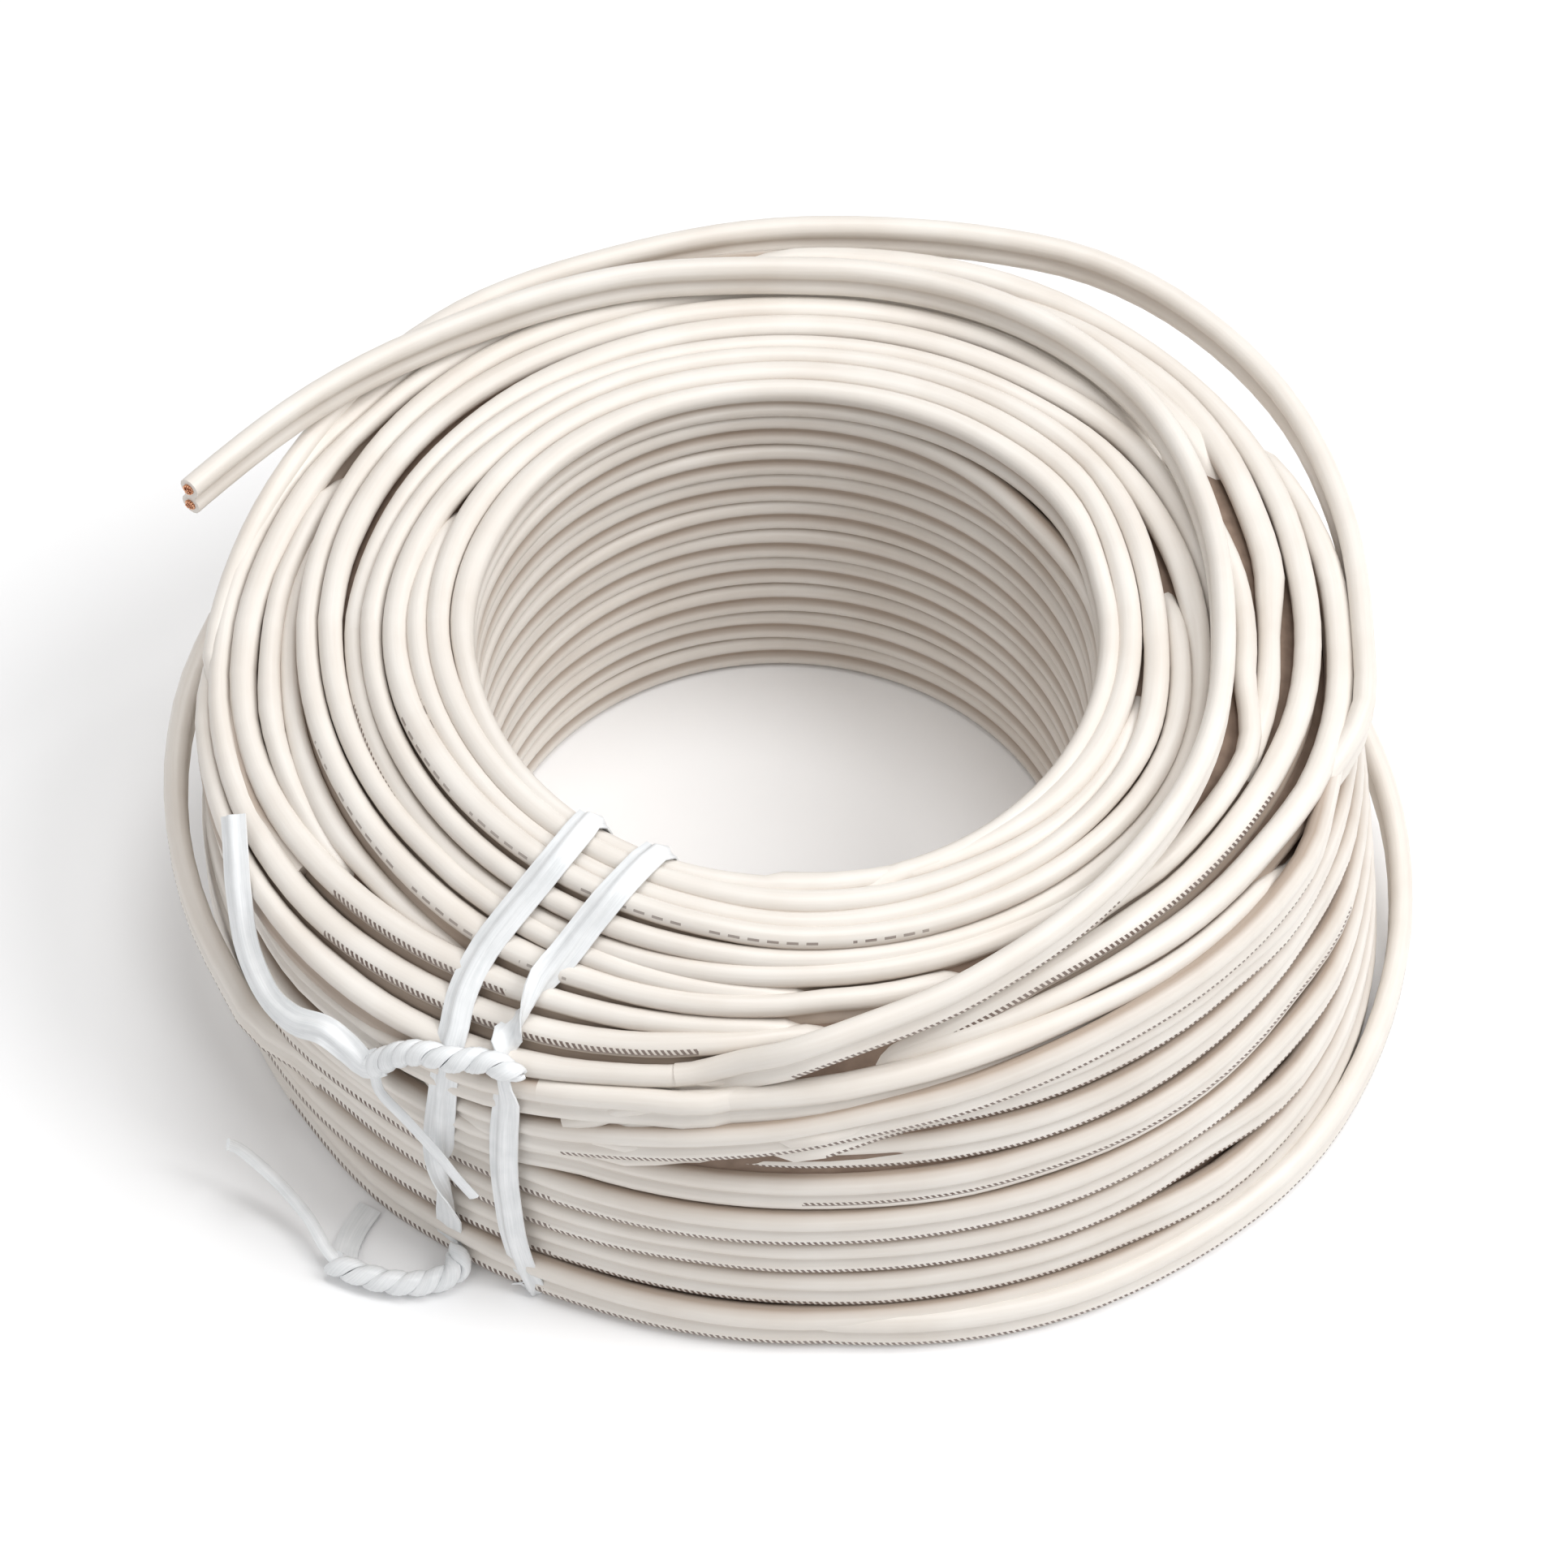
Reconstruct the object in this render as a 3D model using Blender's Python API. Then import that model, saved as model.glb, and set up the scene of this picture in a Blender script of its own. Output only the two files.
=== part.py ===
"""A coil of flat twin electrical wire, its free end on top, held by two twist ties.

Metres, +Z up. The coil lies on its side faces' turns, with its bore upright.
Positions round the coil are given as an angle in degrees (0 is +X, -90 is the
front), a radius and a height, the last two counted in wire conductors.
"""
import math

import bmesh
import bpy
from mathutils import Vector

# Sizes of the wire, metres
LOBE = 0.0044            # across one insulated conductor, half the flat cord's width
CORE = 0.0025            # across one bared copper conductor
CLEARANCE = 0.00028      # kept between neighbouring pieces

# Sizes of the wound coil, counted in conductors
BORE = 14.1              # radius of the bore
HEIGHT = 20.6            # of the bore's wall: ten and a bit turns on edge, one above the other
FLAT = 17.0              # the top is level out to this radius and falls away past it
SEGMENTS = 45
TIE_LOWER = -124.0       # angles of the two ties; the solid has a corner at each
TIE_UPPER = -116.0
BORE_TURNS = 10
WALL_TURNS = 8
TOP_TURNS = 11
GROOVE = 0.42            # depth of the grooves between turns

# How steeply the top falls away past its flat part, every 30 degrees from 0
FALL = (0.28, 0.20, 0.15, 0.14, 0.15, 0.20, 0.30, 0.55, 0.75, 0.75, 0.65, 0.45)

# Outer radius of the wound coil every 30 degrees from 0: at the top, halfway and at the foot
SHOULDER = (25.5, 25.7, 25.4, 24.9, 24.6, 24.6, 24.9, 25.6, 24.4, 23.7, 23.7, 24.6)
BELLY = (27.4, 26.8, 26.2, 25.8, 25.7, 26.2, 27.2, 26.6, 25.2, 24.9, 25.9, 27.2)
FOOT = (28.6, 27.2, 26.2, 25.7, 25.6, 26.2, 26.8, 26.0, 25.3, 25.6, 27.0, 28.6)

# Ribbon of the twist ties, counted in conductors
RIBBON = 1.15
RIBBON_THICK = 0.24
GAP = CLEARANCE / LOBE

# Offset of the whole model so that its box stands centred over the origin
CENTRE = (-0.69, -0.435)


def clear_scene():
    for obj in list(bpy.data.objects):
        bpy.data.objects.remove(obj, do_unlink=True)


def around(table, angle):
    """Smooth value at an angle from a table with even steps round the circle."""
    count = len(table)
    place = (angle % 360.0) / 360.0 * count
    low = int(place) % count
    t = place - int(place)
    a, b, c, d = (table[(low + k) % count] for k in (-1, 0, 1, 2))
    return 0.5 * (2 * b + (c - a) * t + (2 * a - 5 * b + 4 * c - d) * t ** 2
                  + (3 * b - a - 3 * c + d) * t ** 3)


def top(angle, radius):
    """Height of the wound coil's top at an angle and a radius."""
    return HEIGHT - around(FALL, angle) * max(0.0, radius - FLAT)


def outer(angle, height):
    """Outer radius of the wound coil at an angle and a height."""
    t = min(max(height / top(angle, around(SHOULDER, angle)), 0.0), 1.0)
    return (around(FOOT, angle) * (1 - t) * (1 - 2 * t) + around(BELLY, angle) * 4 * t * (1 - t)
            + around(SHOULDER, angle) * t * (2 * t - 1))


def point(angle, radius, height):
    turn = math.radians(angle)
    return Vector(((radius * math.cos(turn) + CENTRE[0]) * LOBE,
                   (radius * math.sin(turn) + CENTRE[1]) * LOBE,
                   height * LOBE))


def smooth_points(rows, steps):
    """Spline through rows of numbers, with the given steps between rows."""
    result = []
    last = len(rows) - 1
    for i in range(last):
        a, b, c, d = rows[max(i - 1, 0)], rows[i], rows[i + 1], rows[min(i + 2, last)]
        for k in range(steps):
            t = k / steps
            result.append(tuple(
                0.5 * (2 * q + (r - p) * t + (2 * p - 5 * q + 4 * r - s) * t ** 2
                       + (3 * q - p - 3 * r + s) * t ** 3)
                for p, q, r, s in zip(a, b, c, d)))
    result.append(tuple(rows[last]))
    return result


def material(name, colour, roughness, metallic=0.0):
    made = bpy.data.materials.new(name)
    made.use_nodes = True
    shader = made.node_tree.nodes["Principled BSDF"]
    shader.inputs["Base Color"].default_value = (*colour, 1.0)
    shader.inputs["Roughness"].default_value = roughness
    shader.inputs["Metallic"].default_value = metallic
    return made


def solid(name, vertices, faces, surface):
    mesh = bpy.data.meshes.new(name)
    mesh.from_pydata([tuple(v) for v in vertices], [], faces)
    obj = bpy.data.objects.new(name, mesh)
    bpy.context.scene.collection.objects.link(obj)
    edit = bmesh.new()
    edit.from_mesh(mesh)
    bmesh.ops.recalc_face_normals(edit, faces=edit.faces)
    edit.to_mesh(mesh)
    edit.free()
    mesh.materials.append(surface)
    for face in mesh.polygons:
        face.use_smooth = True
    return obj


def join(base, other, operation, keep=False):
    """Boolean of two objects into the first; the second is dropped."""
    step = base.modifiers.new("join", "BOOLEAN")
    step.operation = operation
    step.solver = "EXACT"
    step.object = other
    graph = bpy.context.evaluated_depsgraph_get()
    mesh = bpy.data.meshes.new_from_object(base.evaluated_get(graph))
    base.modifiers.clear()
    base.data = mesh
    if not keep:
        bpy.data.objects.remove(other, do_unlink=True)
    return base


def coil_profile(angle):
    """Outline of the wound coil in a radial plane: bottom, outer wall, top, bore."""
    rows = []
    foot = around(FOOT, angle)
    pitch = (foot - BORE) / (TOP_TURNS + 1)
    for i in range(TOP_TURNS // 2 + 1):
        start = BORE + 2 * i * pitch
        rows.append((start + 0.35 * pitch, 0.0))
        rows.append((start + 1.65 * pitch, 0.0))
        if i < TOP_TURNS // 2:
            rows.append((start + 2 * pitch, GROOVE))
    shoulder = around(SHOULDER, angle)
    rise = top(angle, shoulder) / WALL_TURNS
    for i in range(WALL_TURNS):
        low = i * rise
        first = low + (0.35 if i else 0.55)
        last = low + rise - (0.35 if i < WALL_TURNS - 1 else 0.55)
        rows.append((outer(angle, first), first))
        rows.append((outer(angle, last), last))
        if i < WALL_TURNS - 1:
            rows.append((outer(angle, low + rise) - GROOVE, low + rise))
    step = (shoulder - BORE) / TOP_TURNS
    for i in range(TOP_TURNS):
        start = shoulder - i * step
        rows.append((start - 0.5 * step, top(angle, start - 0.5 * step)))
        if i < TOP_TURNS - 1:
            rows.append((start - step, top(angle, start - step) - GROOVE))
    rise = HEIGHT / BORE_TURNS
    for i in reversed(range(BORE_TURNS)):
        low = i * rise
        first = low + rise - (0.35 if i < BORE_TURNS - 1 else 0.55)
        last = low + (0.35 if i else 0.55)
        rows.append((BORE, first))
        rows.append((BORE, last))
        if i:
            rows.append((BORE + GROOVE, low))
    return rows


def wound_coil(surface):
    rings = []
    for i in range(SEGMENTS):
        angle = TIE_LOWER + 360.0 * i / SEGMENTS
        rings.append([point(angle, r, z) for r, z in coil_profile(angle)])
    count = len(rings[0])
    vertices = [v for ring in rings for v in ring]
    faces = []
    for i in range(SEGMENTS):
        after = (i + 1) % SEGMENTS
        for k in range(count):
            other = (k + 1) % count
            faces.append((i * count + k, after * count + k,
                          after * count + other, i * count + other))
    return solid("wire_coil", vertices, faces, surface)


CORD_SECTION = ((0.24, 1.0), (0.5, 0.62), (0.5, 0.36), (0.32, 0.0), (0.5, -0.36), (0.5, -0.62),
                (0.24, -1.0), (-0.24, -1.0), (-0.5, -0.62), (-0.5, -0.36), (-0.32, 0.0),
                (-0.5, 0.36), (-0.5, 0.62), (-0.24, 1.0))


def rectangle(width, thick):
    return ((width / 2, thick / 2), (-width / 2, thick / 2),
            (-width / 2, -thick / 2), (width / 2, -thick / 2))


def sweep(name, centres, section, surface, normals, closed=False, spin=0.0):
    """Solid of a section carried along points; the section's second axis follows normals."""
    count = len(centres)
    size = len(section)
    vertices = []
    for i, centre in enumerate(centres):
        before = centres[(i - 1) % count] if closed or i else centres[0]
        after = centres[(i + 1) % count] if closed or i < count - 1 else centres[-1]
        along = (after - before).normalized()
        up = normals[i] - along * normals[i].dot(along)
        up.normalize()
        side = along.cross(up)
        turn = spin * i
        for a, b in section:
            x = a * math.cos(turn) - b * math.sin(turn)
            y = a * math.sin(turn) + b * math.cos(turn)
            vertices.append(centre + (side * x + up * y) * LOBE)
    faces = []
    for i in range(count if closed else count - 1):
        after = (i + 1) % count
        for k in range(size):
            other = (k + 1) % size
            faces.append((i * size + k, i * size + other, after * size + other, after * size + k))
    if not closed:
        faces.append(tuple(range(size)))
        faces.append(tuple((count - 1) * size + k for k in reversed(range(size))))
    return solid(name, vertices, faces, surface)


def cord_piece(name, rows, steps, surface):
    """Flat cord on edge through rows of angle, radius and height."""
    path = [point(*row) for row in smooth_points(rows, steps)]
    return sweep(name, path, CORD_SECTION, surface, [Vector((0, 0, 1))] * len(path))


def hole(name, start, direction, radius, length, surface, sides=12):
    direction = direction.normalized()
    across = direction.orthogonal().normalized()
    other = direction.cross(across)
    vertices = []
    for distance in (0.0, length):
        for k in range(sides):
            turn = 2 * math.pi * k / sides
            vertices.append(start + direction * distance
                            + (across * math.cos(turn) + other * math.sin(turn)) * radius)
    faces = [(k, (k + 1) % sides, sides + (k + 1) % sides, sides + k) for k in range(sides)]
    faces.append(tuple(reversed(range(sides))))
    faces.append(tuple(range(sides, 2 * sides)))
    return solid(name, vertices, faces, surface)


# Free end: angle and radius of its centreline, from the top turns at the front to the tip
FREE_END = ((-90, 22.4), (-80, 21.6), (-70, 21.1), (-60, 20.65), (-40, 20.15), (-20, 19.9),
            (0, 19.6), (20, 20.15), (40, 21.1), (60, 21.4), (80, 21.1), (90, 20.9), (100, 21.1),
            (110, 21.7), (120, 22.3), (130, 23.1), (140, 24.3), (150, 25.7), (160, 27.3),
            (166, 28.5))
EDGE = 24.0              # past this radius the free end stands out level

# Loose outer turns: angle, radius of the centreline and height as a share of the coil's.
# A radius of 0 keeps the cord against the coil.
LOOSE_BACK = ((-22, 0, 0.82), (-8, 0, 0.845), (5, 26.4, 0.865), (20, 27.3, 0.88),
              (35, 28.2, 0.895), (50, 28.5, 0.905), (60, 28.2, 0.91), (70, 27.2, 0.915),
              (80, 26.4, 0.915), (90, 25.9, 0.915), (110, 25.3, 0.91), (130, 25.6, 0.905),
              (150, 25.5, 0.89), (170, 0, 0.87), (185, 0, 0.84))
LOOSE_LEFT = ((158, 0, 0.62), (167, 27.5, 0.58), (176, 28.2, 0.53), (186, 28.4, 0.47),
              (196, 28.1, 0.40), (205, 27.4, 0.33), (216, 0, 0.26))
LOOSE_RIGHT = ((32, 0, 0.30), (20, 28.7, 0.22), (8, 29.6, 0.14), (-4, 29.75, 0.085),
               (-16, 29.7, 0.054), (-30, 29.5, 0.0515), (-44, 0, 0.0515), (-60, 0, 0.0515))


def end_rows():
    """Rows of the free end, standing on edge on the top."""
    rows = []
    for angle, radius in FREE_END:
        inside = min(radius, EDGE) - 0.6
        height = max(top(angle + k, inside) for k in (-6, 0, 6))
        if radius > EDGE:
            height = min(height, rows[-1][2] - 1.0 - GAP)
        rows.append((angle, radius, height + 1.0 + GAP))
    return rows


def loose_rows(places):
    """Rows of a loose turn, kept off the coil's own outer wall."""
    rows = []
    for angle, radius, share in places:
        height = share * HEIGHT
        widest = max(outer(angle, height + k * 0.25) for k in range(-4, 5))
        rows.append((angle, max(radius, widest + 0.5 + GAP), height))
    return rows


def band(name, angle, surface):
    """Ribbon loop round the coil's section, clear of the turns."""
    half = RIBBON_THICK / 2 + GAP
    shoulder = around(SHOULDER, angle)
    edge = top(angle, shoulder)
    foot = outer(angle, 0.0)
    bore = BORE - half - 0.02
    under = 0.22
    middle = (BORE + shoulder) / 2
    rows = [(bore, 0.8), (bore, HEIGHT / 3), (bore, 2 * HEIGHT / 3), (bore, HEIGHT - 0.5),
            (bore + 0.06, HEIGHT + 0.05), (BORE + 0.25, HEIGHT + half), (FLAT + 0.1, HEIGHT + half),
            (middle, top(angle, middle) + half * 1.15),
            (shoulder - 0.3, top(angle, shoulder - 0.3) + half * 1.15),
            (shoulder + half - 0.02, edge - 0.05), (outer(angle, edge - 0.7) + half, edge - 0.7),
            *((outer(angle, share * edge) + half, share * edge)
              for share in (0.8, 0.65, 0.5, 0.35, 0.2)),
            (outer(angle, 0.8) + half, 0.8), (foot + half - 0.04, 0.3), (foot - 0.1, under),
            (middle, under), (BORE + 0.1, under), (bore + 0.04, 0.3)]
    path = [point(angle, radius, height) for radius, height in rows]
    centre = point(angle, middle, HEIGHT / 2)
    across = (centre - point(angle, 0.0, HEIGHT / 2)).cross(Vector((0, 0, 1))).normalized()
    normals = []
    for i, place in enumerate(path):
        along = (path[(i + 1) % len(path)] - path[i - 1]).normalized()
        up = along.cross(across)
        normals.append(-up if up.dot(place - centre) < 0 else up)
    return sweep(name, path, rectangle(RIBBON, RIBBON_THICK), surface, normals, closed=True)


def ribbon(name, rows, steps, surface, width, facing):
    """Open ribbon through rows of angle, radius, height; facing is the way its face looks."""
    path = [point(*row) for row in smooth_points(rows, steps)]
    section = rectangle(width, RIBBON_THICK)
    return sweep(name, path, section, surface, [Vector(facing)] * len(path))


def pigtail(name, rows, steps, surface):
    """Two ribbons twisted together, drawn as one turning oval."""
    oval = tuple((0.62 * math.cos(math.pi * k / 4), 0.44 * math.sin(math.pi * k / 4))
                 for k in range(8))
    path = [point(*row) for row in smooth_points(rows, steps)]
    return sweep(name, path, oval, surface, [Vector((0, 0, 1))] * len(path), spin=0.55)


# Twisted pigtails and the free ends of the ties: angle, radius and height
UPPER_TWIST = ((-115.8, 24.5, 15.75), (-118.0, 24.6, 15.95), (-120.6, 24.7, 15.95),
               (-123.9, 25.3, 15.65), (-127.2, 25.55, 15.15), (-130.1, 25.8, 14.05),
               (-132.7, 26.15, 12.5))
UPPER_WIDE_END = ((-131.9, 26.05, 13.0), (-133.5, 26.35, 12.4), (-135.4, 26.6, 13.0),
                  (-137.9, 26.95, 13.45), (-141.5, 27.4, 12.75), (-145.8, 27.5, 12.35),
                  (-150.0, 27.4, 13.4), (-153.3, 27.0, 15.35), (-155.8, 26.6, 16.7),
                  (-158.8, 26.2, 17.6))
UPPER_THIN_END = ((-132.5, 26.2, 12.3), (-131.5, 26.4, 11.25), (-128.0, 26.35, 10.4),
                  (-124.7, 26.25, 9.15), (-122.6, 26.15, 7.9), (-120.9, 26.0, 6.85))
LOWER_TWIST = ((-124.2, 25.85, 1.5), (-122.6, 26.6, 0.95), (-123.8, 27.6, 0.75),
               (-125.9, 28.55, 0.75), (-128.9, 29.3, 0.75), (-132.0, 29.8, 0.75))
LOWER_THIN_END = ((-131.4, 29.7, 0.8), (-133.4, 29.65, 1.05), (-136.4, 29.35, 1.6),
                  (-140.2, 29.6, 2.6), (-143.0, 30.3, 3.8), (-143.6, 30.9, 4.6))
LOWER_FLAT_END = ((-131.4, 29.5, 0.62), (-132.8, 28.7, 0.35), (-134.0, 27.6, 0.2),
                  (-134.8, 26.4, 0.18))


def main():
    clear_scene()
    insulation = material("ivory insulation", (0.86, 0.80, 0.72), 0.42)
    plastic = material("white tie plastic", (0.83, 0.84, 0.84), 0.35)
    copper = material("copper", (0.72, 0.36, 0.20), 0.30, 1.0)

    coil = wound_coil(insulation)
    for angle in (TIE_LOWER, TIE_UPPER):
        direction = point(angle, 1.0, 0.0) - point(angle, 0.0, 0.0)
        side = direction.cross(Vector((0, 0, 1))).normalized()
        near = point(angle, BORE - 2.0, -1.0)
        far = point(angle, outer(angle, 0.0) + 2.0, -1.0)
        half = (RIBBON / 2 + 2 * GAP) * LOBE
        rise = Vector((0, 0, 1.42 * LOBE))
        corners = [near - side * half, near + side * half, far + side * half, far - side * half]
        vertices = corners + [v + rise for v in corners]
        faces = [(0, 1, 2, 3), (7, 6, 5, 4), (0, 4, 5, 1), (1, 5, 6, 2), (2, 6, 7, 3), (3, 7, 4, 0)]
        join(coil, solid("slot", vertices, faces, insulation), "DIFFERENCE")

    rows = end_rows()
    end = cord_piece("free_end", rows, 2, insulation)
    tip = point(*rows[-1])
    inward = (point(*rows[-2]) - tip).normalized()
    for name, shift in (("copper_core_upper", 0.5), ("copper_core_lower", -0.5)):
        place = tip + Vector((0, 0, shift * LOBE))
        join(end, hole("socket", place - inward * 0.001, inward, CORE / 2 + CLEARANCE,
                       0.0112, insulation), "DIFFERENCE")
        hole(name, place - inward * 0.0002, inward, CORE / 2, 0.0101, copper)

    cord_piece("loose_turn_back", loose_rows(LOOSE_BACK), 2, insulation)
    cord_piece("loose_turn_left", loose_rows(LOOSE_LEFT), 3, insulation)
    cord_piece("loose_turn_right", loose_rows(LOOSE_RIGHT), 3, insulation)

    lower = band("twist_tie_lower", TIE_LOWER, plastic)
    join(lower, pigtail("twist", LOWER_TWIST, 4, plastic), "UNION")
    join(lower, ribbon("end", LOWER_THIN_END, 2, plastic, 0.6, (0, 0, 1)), "UNION")
    join(lower, ribbon("end", LOWER_FLAT_END, 2, plastic, RIBBON, (0, 0, 1)), "UNION")
    upper = band("twist_tie_upper", TIE_UPPER, plastic)
    join(upper, pigtail("twist", UPPER_TWIST, 4, plastic), "UNION")
    join(upper, ribbon("end", UPPER_WIDE_END, 2, plastic, RIBBON, (-0.5, -0.8, 0.6)), "UNION")
    join(upper, ribbon("end", UPPER_THIN_END, 2, plastic, 0.6, (-0.5, -0.8, 0.4)), "UNION")


main()
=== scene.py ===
"""Looks of the coil of flat twin wire: its turns, free end, twist ties, bared cores and stage.

Places round the coil are an angle in degrees (0 is +X, -90 the front), a radius and a height,
the last two counted in wire conductors, as in the part's source. Lines called seen are read off
the photograph. On the top they give the radius at which the line of sight meets the level plane
at SEEN_HEIGHT, on the outer wall the height at which it meets the cylinder of SEEN_RADIUS.
The script slides them along the line of sight onto the coil's own surface.
"""
import math

import bmesh
import bpy
from mathutils import Matrix, Vector


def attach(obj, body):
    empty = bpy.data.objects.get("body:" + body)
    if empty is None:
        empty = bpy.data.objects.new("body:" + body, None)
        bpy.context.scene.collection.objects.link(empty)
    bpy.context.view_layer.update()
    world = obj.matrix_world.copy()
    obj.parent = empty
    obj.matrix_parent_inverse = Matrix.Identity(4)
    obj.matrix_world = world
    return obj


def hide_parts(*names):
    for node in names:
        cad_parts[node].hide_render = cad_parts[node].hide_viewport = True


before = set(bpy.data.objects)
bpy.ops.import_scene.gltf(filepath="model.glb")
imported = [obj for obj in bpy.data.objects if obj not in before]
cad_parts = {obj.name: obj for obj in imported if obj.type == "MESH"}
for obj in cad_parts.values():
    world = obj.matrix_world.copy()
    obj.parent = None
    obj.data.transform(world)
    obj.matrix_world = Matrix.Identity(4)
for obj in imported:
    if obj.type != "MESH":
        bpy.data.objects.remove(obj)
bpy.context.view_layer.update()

# Sizes, as in the part's source
LOBE = 0.0044            # metres across one insulated conductor
CENTRE = (-0.69, -0.435)  # offset of the coil's axis from the middle of its box
BORE = 14.1
HEIGHT = 20.6
FLAT = 17.0              # the top is level out to this radius and falls away past it
ROUND = 0.53             # radius of one conductor of the flat cord
WIDE = 1.06              # from the cord's middle to its edge

# Camera, fitted to the photograph: its place, its tilt and its focal length
EYE = (0.0, -140.63, 189.56)
PITCH = 52.146
ROLL = 1.358
FOCAL = 6000.0
FRAME = 1932.0
SENSOR = 36.0
SEEN_HEIGHT = 20.7
SEEN_RADIUS = 26.0

# How steeply the top falls away, and the outer radius at the top, halfway and at the foot,
# every 30 degrees from 0
FALL = (0.28, 0.20, 0.15, 0.14, 0.15, 0.20, 0.30, 0.55, 0.75, 0.75, 0.65, 0.45)
SHOULDER = (25.5, 25.7, 25.4, 24.9, 24.6, 24.6, 24.9, 25.6, 24.4, 23.7, 23.7, 24.6)
BELLY = (27.4, 26.8, 26.2, 25.8, 25.7, 26.2, 27.2, 26.6, 25.2, 24.9, 25.9, 27.2)
FOOT = (28.6, 27.2, 26.2, 25.7, 25.6, 26.2, 26.8, 26.0, 25.3, 25.6, 27.0, 28.6)


def spline(a, b, c, d, t):
    """Smooth value between b and c, with a before them and d after them."""
    return 0.5 * (2 * b + (c - a) * t + (2 * a - 5 * b + 4 * c - d) * t ** 2
                  + (3 * b - a - 3 * c + d) * t ** 3)


def around(table, angle):
    """Smooth value at an angle from a table with even steps round the circle."""
    count = len(table)
    place = (angle % 360.0) / 360.0 * count
    low = int(place) % count
    t = place - int(place)
    return spline(*(table[(low + k) % count] for k in (-1, 0, 1, 2)), t)


def top(angle, radius):
    """Height of the coil's top at an angle and a radius."""
    return HEIGHT - around(FALL, angle) * max(0.0, radius - FLAT)


def outer(angle, height):
    """Outer radius of the wound coil at an angle and a height."""
    t = min(max(height / top(angle, around(SHOULDER, angle)), 0.0), 1.0)
    return (around(FOOT, angle) * (1 - t) * (1 - 2 * t) + around(BELLY, angle) * 4 * t * (1 - t)
            + around(SHOULDER, angle) * t * (2 * t - 1))


def spot(angle, radius, height):
    """Point in conductors, about the coil's own axis."""
    turn = math.radians(angle)
    return Vector((radius * math.cos(turn), radius * math.sin(turn), height))


def place(point):
    """Point in metres in the part's frame."""
    return Vector(((point.x + CENTRE[0]) * LOBE, (point.y + CENTRE[1]) * LOBE, point.z * LOBE))


def polar(point, near):
    """Angle next to the given one, and radius, of a point."""
    angle = math.degrees(math.atan2(point.y, point.x))
    angle += 360.0 * round((near - angle) / 360.0)
    return angle, math.hypot(point.x, point.y)


def curve(points):
    """Smooth function of angle through rows of (angle, values...)."""
    rows = sorted(points)

    def slope(i, k):
        low, high = max(i - 1, 0), min(i + 1, len(rows) - 1)
        return (rows[high][k] - rows[low][k]) / (rows[high][0] - rows[low][0])

    def value(angle):
        if angle <= rows[0][0]:
            return rows[0][1:]
        if angle >= rows[-1][0]:
            return rows[-1][1:]
        i = max(k for k in range(len(rows) - 1) if rows[k][0] <= angle)
        span = rows[i + 1][0] - rows[i][0]
        t = (angle - rows[i][0]) / span
        result = []
        for k in range(1, len(rows[0])):
            a, b = rows[i][k], rows[i + 1][k]
            ma, mb = slope(i, k) * span, slope(i + 1, k) * span
            result.append((2 * t ** 3 - 3 * t ** 2 + 1) * a + (t ** 3 - 2 * t ** 2 + t) * ma
                          + (3 * t ** 2 - 2 * t ** 3) * b + (t ** 3 - t ** 2) * mb)
        return tuple(result)
    return value


def seen_on_top(angle, seen, lift=0.0):
    """Angle, radius and height where the line of sight to a seen place meets the top."""
    start = spot(angle, seen, SEEN_HEIGHT)
    sight = (start - Vector(EYE)).normalized()
    point = start
    for _ in range(25):
        near, radius = polar(point, angle)
        height = top(near, radius) + lift
        point = start + sight * ((height - SEEN_HEIGHT) / sight.z)
    near, radius = polar(point, angle)
    return near, radius, point.z


def sight_slope(angle, radius, height):
    """How far the line of sight drops for each step inwards, in the radial plane."""
    point = spot(angle, radius, height)
    sight = point - Vector(EYE)
    turn = math.radians(angle)
    return sight.z / (sight.x * math.cos(turn) + sight.y * math.sin(turn))


def cord_radius(angle, seen, height):
    """Radius of an upright cord at a height, whose lower edge is seen at the given place."""
    slope = sight_slope(angle, SEEN_RADIUS, seen)
    edge = ROUND * (1 + math.sqrt(1 + slope * slope))
    return SEEN_RADIUS - (seen + edge - height) / slope


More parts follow.
